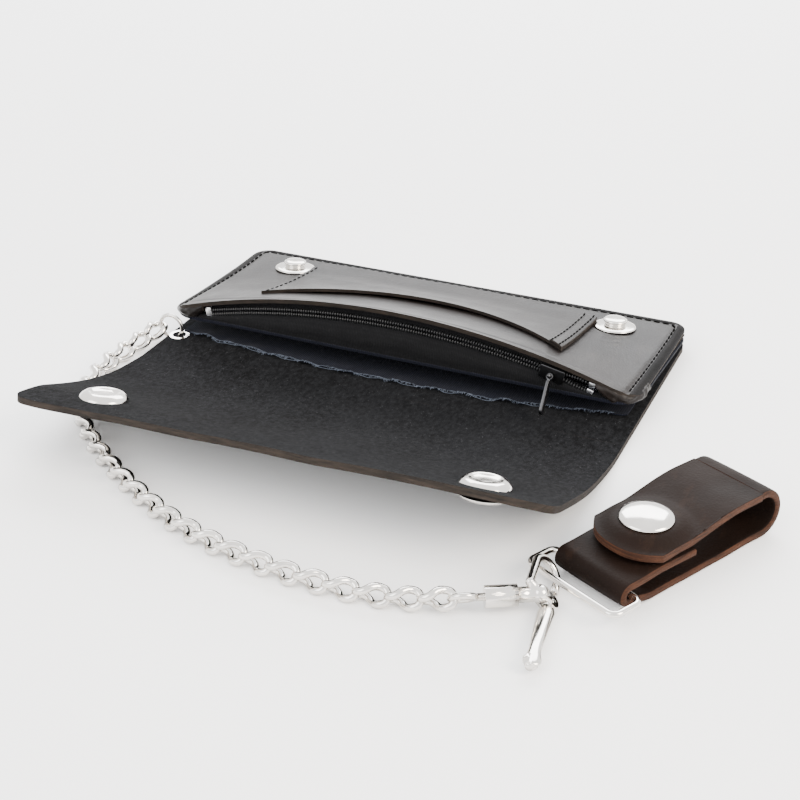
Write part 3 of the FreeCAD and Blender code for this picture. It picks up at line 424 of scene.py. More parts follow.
# --- stitches, teeth: what repeats along a line ----------------------------------------------
def along_line(name, item, points, pitch, material, tilt=0.0, closed=False):
    """Geometry Nodes: one item at every pitch along a line of millimetre points."""
    curve = bpy.data.curves.new(name + "_line", "CURVE")
    curve.dimensions = "3D"
    spline = curve.splines.new("POLY")
    spline.points.add(len(points) - 1)
    for p, q in zip(spline.points, points):
        p.co = (*(Vector(q) * MM), 1)
    spline.use_cyclic_u = closed
    obj = bpy.data.objects.new(name, curve)
    bpy.context.scene.collection.objects.link(obj)
    tree = bpy.data.node_groups.new("place_" + name, "GeometryNodeTree")
    face = tree.interface
    face.new_socket("Geometry", in_out="INPUT", socket_type="NodeSocketGeometry")
    face.new_socket("Item", in_out="INPUT", socket_type="NodeSocketObject")
    face.new_socket("Pitch", in_out="INPUT", socket_type="NodeSocketFloat")
    face.new_socket("Tilt", in_out="INPUT", socket_type="NodeSocketFloat")
    face.new_socket("Material", in_out="INPUT", socket_type="NodeSocketMaterial")
    face.new_socket("Geometry", in_out="OUTPUT", socket_type="NodeSocketGeometry")
    nodes, link = tree.nodes, tree.links.new
    given, out = nodes.new("NodeGroupInput"), nodes.new("NodeGroupOutput")
    spaced = nodes.new("GeometryNodeCurveToPoints")
    spaced.mode = "LENGTH"
    link(given.outputs["Geometry"], spaced.inputs["Curve"])
    link(given.outputs["Pitch"], spaced.inputs["Length"])
    info = nodes.new("GeometryNodeObjectInfo")
    link(given.outputs["Item"], info.inputs["Object"])
    turn = nodes.new("FunctionNodeRotateRotation")
    turn.rotation_space = "LOCAL"
    spin = nodes.new("FunctionNodeAxisAngleToRotation")
    link(given.outputs["Tilt"], spin.inputs["Angle"])
    link(spaced.outputs["Rotation"], turn.inputs["Rotation"])
    link(spin.outputs["Rotation"], turn.inputs["Rotate By"])
    place = nodes.new("GeometryNodeInstanceOnPoints")
    link(spaced.outputs["Points"], place.inputs["Points"])
    link(info.outputs["Geometry"], place.inputs["Instance"])
    link(turn.outputs["Rotation"], place.inputs["Rotation"])
    real = nodes.new("GeometryNodeRealizeInstances")
    link(place.outputs["Instances"], real.inputs["Geometry"])
    coat = nodes.new("GeometryNodeSetMaterial")
    link(real.outputs["Geometry"], coat.inputs["Geometry"])
    link(given.outputs["Material"], coat.inputs["Material"])
    link(coat.outputs["Geometry"], out.inputs["Geometry"])
    mod = obj.modifiers.new("place", "NODES")
    mod.node_group = tree
    ids = {s.name: s.identifier for s in face.items_tree if s.in_out == "INPUT"}
    mod[ids["Item"]] = item
    mod[ids["Pitch"]] = pitch * MM
    mod[ids["Tilt"]] = tilt
    mod[ids["Material"]] = material
    graph = bpy.context.evaluated_depsgraph_get()
    graph.update()
    mesh = bpy.data.meshes.new_from_object(obj.evaluated_get(graph))
    mesh.polygons.foreach_set("use_smooth", [True] * len(mesh.polygons))
    bpy.data.objects.remove(obj)
    piece = bpy.data.objects.new(name, mesh)
    bpy.context.scene.collection.objects.link(piece)
    return piece


def hidden_item(name, build):
    """A small mesh that Geometry Nodes repeat; it is removed at the end."""
    bm = bmesh.new()
    build(bm)
    bmesh.ops.recalc_face_normals(bm, faces=bm.faces)
    mesh = bpy.data.meshes.new(name)
    bm.to_mesh(mesh)
    bm.free()
    obj = bpy.data.objects.new(name, mesh)
    bpy.context.scene.collection.objects.link(obj)
    items.append(obj)
    return obj


items = []


def stitch_shape(bm):
    """A stitch 2.6 mm long that dips at both ends, along Z."""
    bmesh.ops.create_uvsphere(bm, u_segments=6, v_segments=6, radius=1.0)
    for v in bm.verts:
        v.co = Vector((v.co.x * 0.33, v.co.y * 0.33, v.co.z * 1.3)) * MM


stitch = hidden_item("stitch_item", stitch_shape)
STITCH_PITCH = 3.3


# --- outer leather --------------------------------------------------------------------------
grommet_low, grommet_high = span("grommet")
grommet_at = (grommet_low + grommet_high) / 2


def lifted(x, y):
    """The back leather's underside lifts over the ring at the grommet."""
    d = math.hypot(max(x + HALF - 7.5, 0), max(abs(y - grommet_at.y) - 2.0, 0))
    return grommet_low.z * max(0.0, 1 - d / 3.0) if x < -HALF + 11 else 0.0


def back_top(x, v):
    y = SEAM_Y + (DEEP - SEAM_Y - inset_at(x, HALF, REAR_CORNER)) * v
    return Vector((x, y, THICK + wobble(x, y, 0.12)))


def back_bottom(x, v):
    p = back_top(x, v)
    return Vector((p.x, p.y, max(lifted(p.x, p.y), 0.02)))


columns = crowded(-HALF, HALF, 90)
back_piece = sheet_of(
    "back_leather", columns, steps(0, 1, 44), back_top, back_bottom, [flesh, black_leather, black_edge]
)
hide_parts("outer_back", "spine_panel")
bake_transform(back_piece)


def flap_mid(x, along):
    """Middle of the flap's leather, this far along it from the second fold; negative is spine."""
    if along < 0:
        return Vector((x, fold_two.y - along, fold_two.z))
    t = along
    bow = -2.9 * math.sin(math.pi * min(t / SNAP_REACH, 1.0) ** 0.9)
    past = max(t - SNAP_REACH, 0)
    curl = past * 0.12 + 2.3 * (x / HALF) * (past / (FLAP_DEEP - SNAP_REACH)) ** 1.5
    calm = min(1.0, t / 12.0) * (1 - math.exp(-((t - SNAP_REACH) ** 2 + (abs(x) - SNAP_X) ** 2) / 120))
    lift = bow + curl + calm * wobble(x, t, 0.9, 34, 4)
    y = fold_two.y - t * math.cos(FLAP_RISE) + lift * math.sin(FLAP_RISE)
    return Vector((x, y, max(fold_two.z + t * math.sin(FLAP_RISE) + lift, fold_two.z)))


def flap_point(x, v, side):
    length = FLAP_DEEP - inset_at(x, HALF, 10.0 if x > 0 else 5.0) + wobble(x, 0, 0.5, 12, 9)
    start = fold_two.y - SEAM_Y
    along = start + (length - start) * v
    here, next_one = flap_mid(x, along), flap_mid(x, along + 0.5)
    way = (next_one - here).normalized()
    up = Vector((0, way.z, -way.y))
    return here + up * side * THICK / 2


flap_piece = sheet_of(
    "flap_leather",
    columns,
    steps(0, 1, 56),
    lambda x, v: flap_point(x, 1 - v, 1),
    lambda x, v: flap_point(x, 1 - v, -1),
    [flesh, black_leather, black_edge],
)
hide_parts("outer_flap")
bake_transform(flap_piece)


def flatten_under_pocket(piece):
    """Hang the lining or its loose threads on the wallet base, with a mesh of its own."""
    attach(piece, "wallet_base")
    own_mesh(piece)


# --- bill compartment lining ----------------------------------------------------------------
def lining_point(x, v, lift):
    front = -3.6 + 7.0 * (abs(x + 8) / 80) ** 2.2 + wobble(x, 0, 1.1, 5, 2)
    y = front + (DEEP - 3 - front) * v
    fray = max(0, 1 - v * 12)
    return Vector((x, y, THICK + 0.35 + lift + fray * (0.5 + wobble(x, y, 0.7, 7, 5))))


lining = sheet_of(
    "bill_lining_cloth",
    steps(-HALF + 4, HALF - 4, 140),
    steps(0, 1, 30),
    lambda x, v: lining_point(x, v, 0.25),
    lambda x, v: lining_point(x, v, -0.2),
    [lining_cloth, lining_cloth, lining_cloth],
    bevel=0,
)
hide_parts("bill_lining")
flatten_under_pocket(lining)


# Loose threads along the lining's cut edge.
frayed = waxed_thread("frayed_thread", (0.09, 0.105, 0.135))
vertices, faces = [], []


def strand(points, radius):
    """A thin three-sided thread through its points."""
    start = len(vertices)
    for i, here in enumerate(points):
        before, after = points[max(i - 1, 0)], points[min(i + 1, len(points) - 1)]
        way = (after - before).normalized()
        out = way.orthogonal().normalized()
        cross = way.cross(out)
        for k in range(3):
            b = 2 * math.pi * k / 3
            vertices.append(here + (out * math.cos(b) + cross * math.sin(b)) * radius)
    for i in range(len(points) - 1):
        for k in range(3):
            m = (k + 1) % 3
            quad = (i * 3 + k, i * 3 + m, i * 3 + 3 + m, i * 3 + 3 + k)
            faces.append(tuple(start + q for q in quad))
    faces.append((start, start + 2, start + 1))
    last = start + 3 * (len(points) - 1)
    faces.append((last, last + 1, last + 2))


for i in range(620):
    x = -HALF + 8 + (2 * HALF - 16) * i / 620
    root = lining_point(x, 0.0, 0.2)
    lean_x, reach = wobble(x, 3, 1.6, 0.7, 11), 0.5 + abs(wobble(x, 9, 2.4, 0.9, 13))
    tip = root + Vector((lean_x, -reach, 0.2 + wobble(x, 5, 0.8, 0.8, 17)))
    bend = (root + tip) / 2 + Vector((wobble(x, 7, 0.5, 0.6, 19), 0, 0.35))
    strand([root + Vector((0, 0.5, 0)), bend, tip], 0.07)
for i in range(9):
    x = -HALF + 14 + i * 15.0 + wobble(i * 3.1, 1, 6, 1.7, 3)
    long = 9 + 5 * abs(wobble(x, 1, 1.6, 3, 23))
    loop = []
    for k in range(13):
        t = k / 12
        p = lining_point(x + long * t, 0.0, 0.35)
        loop.append(p + Vector((0, -2.6 * math.sin(math.pi * t), 0.5 * math.sin(math.pi * t))))
    strand(loop, 0.09)
fray = finished("lining_fray", vertices, faces, [frayed])
flatten_under_pocket(fray)

# --- zip pocket ------------------------------------------------------------------------------
def bowed(x, end, rise):
    bow = (HALF**2 + rise**2) / (2 * rise)
    return end + rise - bow + math.sqrt(max(bow**2 - x**2, 0))


def panel_top(x, y):
    """Height of the top panel: humped at the mouth, flat behind the studs."""
    front = bowed(x, PANEL_END, PANEL_HUMP)
    middle = bowed(x, PANEL_BACK, PANEL_BACK_HUMP)
    fall = max(1 - y / 54.0, 0) ** 1.45
    rear = min(max((y - PANEL_FLAT_FROM) / (DEEP - PANEL_FLAT_FROM), 0), 1)
    behind = middle * (1 - rear) + PANEL_BACK * rear
    return front * fall + behind * (1 - fall)


edge_row = 3.6


def plan_y(x, v, radius=9.0, rear=REAR_CORNER):
    near = inset_at(x, HALF, radius)
    far = DEEP - inset_at(x, HALF, rear)
    return near + (far - near) * v


def panel_point(x, v, lift):
    y = plan_y(x, v)
    rim = min(HALF - abs(x), DEEP - y)
    beyond_x, beyond_y = abs(x) - HALF + REAR_CORNER, y - DEEP + REAR_CORNER
    if beyond_x > 0 and beyond_y > 0:
        rim = REAR_CORNER - math.hypot(beyond_x, beyond_y)
    edge = 0.9 * math.exp(-((rim / 1.6) ** 2)) + 0.55 * math.exp(-(((rim - edge_row) / 0.9) ** 2))
    mouth = 0.35 * math.exp(-(((y - 4.2) / 1.0) ** 2)) * math.exp(-((x / 80) ** 6))
    if lift < -0.5:
        return Vector((x, y, panel_top(x, y) + lift))
    soft_wave = wobble(x, y, 0.5, 26, 1) * min(1, rim / 12) * min(1, y / 10)
    return Vector((x, y, panel_top(x, y) + lift - edge - mouth + soft_wave))


def soft(piece):
    """Hang a soft pocket piece on the pocket body, with a mesh of its own."""
    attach(piece, "pocket")
    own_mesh(piece)
    return piece


pocket_top = sheet_of(
    "pocket_top_leather",
    crowded(-HALF, HALF, 130),
    crowded(0, 1, 80),
    lambda x, v: panel_point(x, v, 0),
    lambda x, v: panel_point(x, v, -PANEL_THICK),
    [pocket_leather, flesh, black_edge],
)
pocket_top.data.materials.append(rim_shade_leather)
# Top faces outside the perimeter stitch row, along the sides and back, take the painted rim shade.
for polygon in pocket_top.data.polygons:
    at = polygon.center * 1000
    if polygon.material_index == 0 and min(HALF - abs(at.x), DEEP - at.y) < edge_row - 0.4:
        polygon.material_index = 3
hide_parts("top_panel")
soft(pocket_top)

FLOOR_FRONT = 9.3
FLOOR_BACK = span("zip_pocket_floor")[0].z


def floor_z(y):
    return FLOOR_FRONT + (FLOOR_BACK - FLOOR_FRONT) * y / DEEP


pocket_floor = sheet_of(
    "pocket_floor_leather",
    columns,
    steps(0, 1, 30),
    lambda x, v: Vector((x, plan_y(x, v), floor_z(plan_y(x, v)) + 1.0)),
    lambda x, v: Vector((x, plan_y(x, v), floor_z(plan_y(x, v)))),
    [lining_cloth, lining_cloth, lining_cloth],
    bevel=0.25,
)
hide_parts("zip_pocket_floor")
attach(pocket_floor, "pocket")

# End seams: three layers of leather stacked between the floor and the top panel.
for side, name in ((-1, "left"), (1, "right")):
    for layer in range(3):

        def layer_point(u, v, over, layer=layer, side=side):
            y = 11.5 + (DEEP - 13.5) * v
            low = floor_z(y) + 1.05
            high = panel_top(side * HALF, y) - PANEL_THICK - 0.6
            part = (layer + (0.93 if over else 0.05)) / 3
            out = HALF - 0.7 - 0.35 * ((layer * 7) % 3) - 6.0 * (1 - u)
            return Vector((side * out, y, low + (high - low) * part))

        us = [0, 0.5, 1] if side > 0 else [1, 0.5, 0]
        piece = sheet_of(
            f"seam_layer_{name}_{layer + 1}",
            us,
            steps(0, 1, 30),
            lambda u, v: layer_point(u, v, True),
            lambda u, v: layer_point(u, v, False),
            [black_edge, black_edge, black_edge],
            bevel=0.2,
        )
        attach(piece, "pocket")
        if layer == 0:
            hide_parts(f"end_seam_{name}")


# Slip pocket with a bowed mouth, and a strip of leather along its right-hand seam.
def slip_mouth(x):
    return SLIP_FRONT + SLIP_BOW * (1 - (x / SLIP_HALF) ** 2)


def slip_point(x, v, over):
    y = slip_mouth(x) + (SLIP_BACK - slip_mouth(x)) * v
    gape = 0.9 * (1 - v) ** 3 * math.cos(0.5 * math.pi * min(abs(x) / SLIP_HALF, 1))
    base = panel_top(x, y) + 0.05 + gape
    return Vector((x, y, base + (1.25 if over else 0)))


slip = sheet_of(
    "slip_pocket_leather",
    crowded(-SLIP_HALF, SLIP_HALF, 70),
    steps(0, 1, 30),
    lambda x, v: slip_point(x, v, True),
    lambda x, v: slip_point(x, v, False),
    [pocket_leather, flesh, black_edge],
)
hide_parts("slip_pocket")
soft(slip)

# A narrow strip covers the slip pocket's right-hand seam.
def strip_point(x, v, over):
    round_off = 0.35 * (abs(x - SLIP_HALF + 2.6) / 2.9) ** 2 if over else 0
    return slip_point(x, v, True) + Vector((0, 0, 1.05 - round_off if over else -0.1))


seam_strip = sheet_of(
    "seam_strip",
    steps(SLIP_HALF - 5.5, SLIP_HALF + 0.4, 8),
    steps(-0.01, 1, 40),
    lambda x, v: strip_point(x, v, True),
    lambda x, v: strip_point(x, v, False),
    [pocket_leather, black_edge, black_edge],
)
soft(seam_strip)


# The pocket's front corners: leather turned down from the top panel and closed round the ends.
def corner_path(side, t):
    """A point of the plan's outline round a front corner, t from the end side to the mouth."""
    radius, back, front = 9.0, 8.0, 5.0
    turn_long = radius * math.pi / 2
    d = t * (back + turn_long + front)
    if d < back:
        return side * HALF, radius + back - d, Vector((side, 0, 0))
    if d < back + turn_long:
        a = (d - back) / radius
        out = Vector((side * math.cos(a), -math.sin(a), 0))
        return side * (HALF - radius) + out.x * radius, radius + out.y * radius, out
    return side * (HALF - radius - (d - back - turn_long)), 0.0, Vector((0, -1, 0))


def corner_point(side, t, v, outer):
    x, y, out = corner_path(side, t)
    high = panel_top(min(max(x, -HALF), HALF), max(y, 0)) - 0.5
    low = floor_z(y) - 0.3 + 4.5 * max(0, (t - 0.72) / 0.28) ** 2
    bulge = 1.5 * math.sin(math.pi * min(max(v, 0), 1)) ** 0.7 - 0.9
    crease = wobble(x * 2, y * 2 + v * 14, 0.7, 5, 3)
    in_plan = Vector((x, y, high + (low - high) * v))
    return in_plan + out * (bulge + crease * (1 if outer else 0.4) - (0 if outer else 1.3))


for side, name in ((-1, "left"), (1, "right")):
    ts = steps(0, 1, 40)
    vs = steps(0, 1, 14)
    if side > 0:
        ts = ts[::-1]
    corner = sheet_of(
        f"pocket_corner_{name}",
        ts,
        vs,
        lambda t, v: corner_point(side, t, v, True),
        lambda t, v: corner_point(side, t, v, False),
        [pocket_leather, pocket_leather, black_edge],
        bevel=0.4,
    )
    soft(corner)

# --- zipper ----------------------------------------------------------------------------------
zip_low, zip_high = span("zipper_coil_upper")
ZIP_HALF = 70.5
ZIP_END = 13.0
ZIP_RISE = 8.7
COIL_MID = (zip_low.y + zip_high.y) / 2
TAPE_Y = zip_high.y + 0.35
slider_low, slider_high = span("slider_body")
SLIDER_X = (slider_low.x + slider_high.x) / 2


def zip_line(x, off=0.0):
    bow = (ZIP_HALF**2 + ZIP_RISE**2) / (2 * ZIP_RISE)
    a = math.asin(x / bow)
    r = bow + off
    return r * math.sin(a), ZIP_END + ZIP_RISE - bow + r * math.cos(a)


def opened(x):
    """Past the slider the two rows of teeth stand a little apart."""
    return 0.75 * min(max((x - SLIDER_X - 2) / 6.0, 0), 1)


def tape_up(x, v, lift):
    zx, zz = zip_line(x, 0.45 + opened(x))
    top = panel_top(zx, TAPE_Y) - PANEL_THICK + 0.5
    z = zz + (top - zz) * v
    back = 1.6 * v**2
    return Vector((zx, TAPE_Y + back + lift, z))


tape_upper = sheet_of(
    "upper_zip_tape",
    steps(-ZIP_HALF - 4, ZIP_HALF + 4, 100),
    steps(0, 1, 6),
    lambda x, v: tape_up(x, v, -0.3),
    lambda x, v: tape_up(x, v, 0.3),
    [zip_tape, zip_tape, zip_tape],
    bevel=0,
)
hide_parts("zipper_tape_upper")
soft(tape_upper)


def tape_down(x, v, lift):
    """The lower tape and the pocket's front wall, which folds under to the floor."""
    zx, zz = zip_line(x, -0.45 - opened(x))
    foot = floor_z(0) + 0.6
    z = zz + (foot - zz) * v
    belly = math.sin(math.pi * min(v * 1.05, 1)) * (1.2 + 1.2 * math.cos(zx / HALF * 1.5))
    rough = wobble(zx, z * 3, 0.5, 14, 7) * math.sin(math.pi * v)
    return Vector((zx, TAPE_Y - belly - 2.2 * v**3 - rough + lift, z))


pocket_front = sheet_of(
    "pocket_front_wall",
    steps(-ZIP_HALF - 6, ZIP_HALF + 6, 120),
    steps(0, 1, 18),
    lambda x, v: tape_down(x, v, 0.35),
    lambda x, v: tape_down(x, v, -0.35),
    [lining_cloth, zip_tape, zip_tape],
    bevel=0,
)
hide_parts("zipper_tape_lower")
soft(pocket_front)


def tooth_shape(bm):
    """One turn of the coil: a flattened bead across the tape, along Y of its point."""
    bmesh.ops.create_uvsphere(bm, u_segments=8, v_segments=6, radius=1.0)
    for v in bm.verts:
        v.co = Vector((v.co.x * 0.95, v.co.y * 0.75, v.co.z * 0.36)) * MM


tooth = hidden_item("tooth_item", tooth_shape)
TOOTH_PITCH = 0.95
for where, sign, shift in (("upper", 1, 0), ("lower", -1, TOOTH_PITCH / 2)):
    line = []
    for i in range(281):
        x = -ZIP_HALF + shift + (2 * ZIP_HALF - TOOTH_PITCH) * i / 280
        zx, zz = zip_line(x, sign * (0.8 + opened(x)))
        line.append((zx, COIL_MID, zz))
    teeth = along_line(f"zip_teeth_{where}", tooth, line, TOOTH_PITCH, coil_nylon)
    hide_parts(f"zipper_coil_{where}")
    soft(teeth)

for node in ("zipper_bottom_stop", "zipper_top_stops"):
    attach(refined(node, bright_zinc, 0.3), "pocket")
for node, body, bevel in (
    ("slider_body", "slider", 0.35),
    ("slider_crown", "slider", 0),
    ("zip_pull", "pull", 0.2),
):
    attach(refined(node, gunmetal, bevel), body)

# --- stitch rows -----------------------------------------------------------------------------
rows = {}
edge = edge_row
round_row = REAR_CORNER - edge
side_x, top_y = HALF - edge, DEEP - edge
perimeter = [(-side_x, y) for y in steps(6, top_y - round_row, 60)]
for middle_x, start in ((round_row - side_x, math.pi), (side_x - round_row, math.pi / 2)):
    for a in steps(start, start - math.pi / 2, 8):
        perimeter.append((middle_x + round_row * math.cos(a), top_y - round_row + round_row * math.sin(a)))
perimeter += [(side_x, y) for y in steps(top_y - round_row - 0.5, 6, 60)]
rows["perimeter"] = [(x, y, panel_top(x, y) - 0.35) for x, y in perimeter]
rows["slip_left"] = [tuple(slip_point(1.6 - SLIP_HALF, v, True)) for v in steps(0.02, 0.97, 50)]
for row, gap in (("outer", 0.9), ("inner", 4.4)):
    x = SLIP_HALF - gap
    above = Vector((0, 0, 1.0))
    rows[f"strip_{row}"] = [tuple(slip_point(x, v, True) + above) for v in steps(0.02, 0.97, 50)]
for name, line in rows.items():
    soft(along_line(f"stitches_{name}", stitch, line, STITCH_PITCH, thread))

# --- snap fasteners --------------------------------------------------------------------------
flap_up = Vector((0, math.sin(FLAP_RISE), math.cos(FLAP_RISE)))
SOCKET = [
    (0, 1.75), (1.6, 1.74), (3.0, 1.72), (3.9, 1.85), (4.5, 2.3), (4.9, 2.5), (5.4, 2.5),
    (6.2, 2.25), (7.0, 1.7), (7.65, 1.0), (7.95, 0.45), (7.9, 0.1), (7.6, 0.0), (0, 0.0),
]
STUD = [
    (0, 3.4), (2.2, 3.38), (3.5, 3.2), (4.15, 2.8), (4.3, 2.4), (4.1, 2.05), (3.8, 1.8), (3.8, 1.1),
    (4.4, 0.95), (6.2, 0.85), (7.3, 0.65), (7.7, 0.35), (7.65, 0.08), (7.4, 0.0), (0, 0.0),
]
CAP = [
    (0, 2.4), (1.5, 2.37), (3.2, 2.22), (4.9, 1.93), (6.3, 1.5), (7.3, 1.02), (7.85, 0.6), (7.95, 0.3),
    (7.85, 0.05), (7.6, 0.0), (0, 0.0),
]
BUTTONS = {
    "snap_socket_left": (SOCKET, flap_up, "flap"),
    "snap_socket_right": (SOCKET, flap_up, "flap"),
    "snap_cap_left": (CAP, -flap_up, "flap"),
    "snap_cap_right": (CAP, -flap_up, "flap"),
}


for node, (profile, axis, body) in BUTTONS.items():
    side = -1 if "left" in node else 1
    reach_y, reach_z = -SNAP_REACH * math.cos(FLAP_RISE), SNAP_REACH * math.sin(FLAP_RISE)
    middle = fold_two + Vector((side * SNAP_X, reach_y, reach_z))
    piece = turned_piece(node + "_button", profile, middle + axis * THICK / 2, axis, nickel)
    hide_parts(node)
    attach(piece, body)
lean = math.radians(5.2 + 1.0)
stud_axis = Vector((0, math.sin(lean), math.cos(lean)))
for side in ("left", "right"):
    rivet_low, rivet_high = span(f"stud_rivet_{side}")
    rivet_mid = (rivet_low + rivet_high) / 2
    at = rivet_mid + stud_axis * (0.4 + PANEL_THICK)
    piece = turned_piece(f"snap_stud_{side}_button", STUD, at, stud_axis, nickel)
    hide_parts(f"snap_stud_{side}")
    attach(piece, "pocket")

# --- chain, swivel, clasp --------------------------------------------------------------------
plain_metal = {
    "grommet": "wallet_base",
    "chain_ring": "ring",
    "swivel_eye": "swivel",
    "clasp_body": "clasp",
    "lever_pin": "clasp",
    "trigger_lever": "lever",
    "loop_ring": "loop",
}
LINK_LONG = 11.45
LINK_WIDE = 7.4
LINK_WIRE = 2.3


def islands(mesh):
    """Corner lists of a mesh's separate parts, in millimetres."""
    bm = bmesh.new()
    bm.from_mesh(mesh)
    bmesh.ops.remove_doubles(bm, verts=bm.verts, dist=1e-7)
    seen, found = set(), []
    for vert in bm.verts:
        if vert in seen:
            continue
        seen.add(vert)
        stack, part = [vert], []
        while stack:
            here = stack.pop()
            part.append(here.co * 1000)
            for one in here.link_edges:
                other = one.other_vert(here)
                if other not in seen:
                    seen.add(other)
                    stack.append(other)
        found.append(part)
    bm.free()
    return found


def link_axes(points):
    """Middle, length direction and lean of one link, from the box it fills."""
    low = Vector([min(p[k] for p in points) for k in range(3)])
    high = Vector([max(p[k] for p in points) for k in range(3)])
    middle = (low + high) / 2
    ends = sorted(points, key=lambda p: (p - middle).length, reverse=True)[:12]
    first = ends[0] - middle
    along = Vector()
    for p in ends:
        arm = p - middle
        along += arm if arm.dot(first) > 0 else -arm
    for _ in range(12):
        total = Vector()
        for p in points:
            arm = p - middle
            total += arm * arm.dot(along)
        along = total.normalized()
    side = along.cross(Vector((0, 0, 1))).normalized()
    up = side.cross(along)
    start = [p - middle for p in points if (p - middle).dot(along) < -2.8]
    xx = sum(p.dot(side) ** 2 for p in start)
    zz = sum(p.dot(up) ** 2 for p in start)
    xz = sum(p.dot(side) * p.dot(up) for p in start)
    lean_start = 0.5 * math.atan2(2 * xz, xx - zz)
    finish = [p - middle for p in points if (p - middle).dot(along) > 2.8]
    xx = sum(p.dot(side) ** 2 for p in finish)
    zz = sum(p.dot(up) ** 2 for p in finish)
    xz = sum(p.dot(side) * p.dot(up) for p in finish)
    lean_finish = 0.5 * math.atan2(2 * xz, xx - zz)
    return middle, along, side, up, lean_start, lean_finish


def link_rings(axes, rounds=40, sides=12):
    """Rings of corners round one curb link's wire; its ends lean to their own sides."""
    middle, along, side, up, lean_start, lean_finish = axes
    half_long = (LINK_LONG - LINK_WIRE) / 2
    half_wide = (LINK_WIDE - LINK_WIRE) / 2
    straight = half_long - half_wide
    line = []
    for i in range(rounds):
        a = 2 * math.pi * i / rounds
        c, d = math.cos(a), math.sin(a)
        x = half_wide * c + straight * math.copysign(min(1, abs(c) * 1.6), c)
        share = 0.5 + 0.5 * max(-1, min(1, x / (straight + half_wide * 0.35)))
        share = share * share * (3 - 2 * share)
        gap = lean_finish - lean_start
        while gap > math.pi / 2:
            gap -= math.pi
        while gap < -math.pi / 2:
            gap += math.pi
        lean = lean_start + gap * share
        across_way = side * math.cos(lean) + up * math.sin(lean)
        line.append(middle + along * x + across_way * (half_wide * d))
    rings = []
    for i, here in enumerate(line):
        way = (line[(i + 1) % rounds] - line[i - 1]).normalized()
        out = (here - middle - way * (here - middle).dot(way)).normalized()
        cross = way.cross(out)
        ring = []
        for k in range(sides):
            b = 2 * math.pi * k / sides
            ring.append(here + (out * math.cos(b) + cross * math.sin(b)) * LINK_WIRE / 2)
        rings.append(ring)
    return rings


for number in range(1, 9):
    node = f"chain_run_{number}"
    vertices, faces = [], []
    for points in islands(frame["nodes"][node].data):
        rings = link_rings(link_axes(points))
        start, sides = len(vertices), len(rings[0])
        vertices += [p for ring in rings for p in ring]
        for i in range(len(rings)):
            j = (i + 1) % len(rings)
            for k in range(sides):
                m = (k + 1) % sides
                quad = (i * sides + k, i * sides + m, j * sides + m, j * sides + k)
                faces.append(tuple(start + q for q in quad[::-1]))
    piece = finished(f"curb_links_{number}", vertices, faces, [nickel])
    outward(piece)
    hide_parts(node)
    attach(piece, f"chain_{number}")
for node, body in plain_metal.items():
    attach(refined(node, nickel), body)

# The thumb lever's tail is a broad curved blade that narrows to its rounded tip.
lever_pivot = in_mm(joints["lever_press"]["pos_m"])
lever_points = [p.co * 1000 for p in frame["nodes"]["trigger_lever"].data.vertices]
tail_tip = max(lever_points, key=lambda p: (p - lever_pivot).length)
tail_way = (tail_tip - lever_pivot).normalized()
tail_long = (tail_tip - lever_pivot).length
tail_side = tail_way.cross(Vector((0, 0, 1))).normalized()
tail_up = tail_side.cross(tail_way)


def blade_point(t, a):
    """A point of the blade's skin: t along it from the pivot, a round its section."""
    wide = 2.7 - 1.3 * t + 1.0 * math.exp(-(((t - 0.93) / 0.09) ** 2))
    wide *= math.sqrt(max(0, 1 - max(0, (t - 0.93) / 0.07) ** 2)) * min(1, 0.45 + t * 4)
    thick = 0.95 - 0.25 * t
    arch = 0.9 * math.sin(math.pi * t)
    across_blade = math.cos(a) * wide
    return (
        lever_pivot
        + tail_way * (tail_long * t)
        + tail_side * across_blade
        + tail_up * (math.sin(a) * thick + arch - 0.5 * (across_blade / 2.7) ** 2)
    )


vertices, faces = [], []
BLADE_STEPS, BLADE_SIDES = 40, 20
for i in range(BLADE_STEPS + 1):
    for k in range(BLADE_SIDES):
        vertices.append(blade_point(min(i / BLADE_STEPS, 0.998), 2 * math.pi * k / BLADE_SIDES))
for i in range(BLADE_STEPS):
    for k in range(BLADE_SIDES):
        m = (k + 1) % BLADE_SIDES
        row, above = i * BLADE_SIDES, (i + 1) * BLADE_SIDES
        faces.append((row + k, row + m, above + m, above + k))
faces.append(tuple(range(BLADE_SIDES)))
faces.append(tuple(BLADE_STEPS * BLADE_SIDES + k for k in range(BLADE_SIDES)))
blade = finished("lever_tail_blade", vertices, faces, [nickel])
outward(blade)
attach(blade, "lever")
for node in ("stud_rivet_left", "stud_rivet_right", "strap_stud_rivet"):
    frame["nodes"][node].data.materials.clear()
    frame["nodes"][node].data.materials.append(nickel)

# --- belt loop -------------------------------------------------------------------------------
back_bar = in_mm(joints["strap_turn"]["pos_m"])
across = Vector(joints["strap_turn"]["axis"]).normalized()
away = Vector((-across.y, across.x, 0))
tab_hinge = in_mm(joints["tab_open"]["pos_m"])
STRAP_WIDE = 26.0
STRAP_THICK = 2.4
ROLL = 1.0 + 0.35 + STRAP_THICK / 2
FOLD_R = 6.7
LOW_MID = STRAP_THICK / 2 - back_bar.z
STRAP_LONG = 55.3
RETURN = 26.0
TAB_FLAT = STRAP_LONG - STRAP_THICK / 2 - 0.15
strap_origin = Vector((tab_hinge.x, tab_hinge.y, back_bar.z)) - away * TAB_FLAT


def on_strap(s, q, z):
    return strap_origin + away * s + across * q + Vector((0, 0, z))


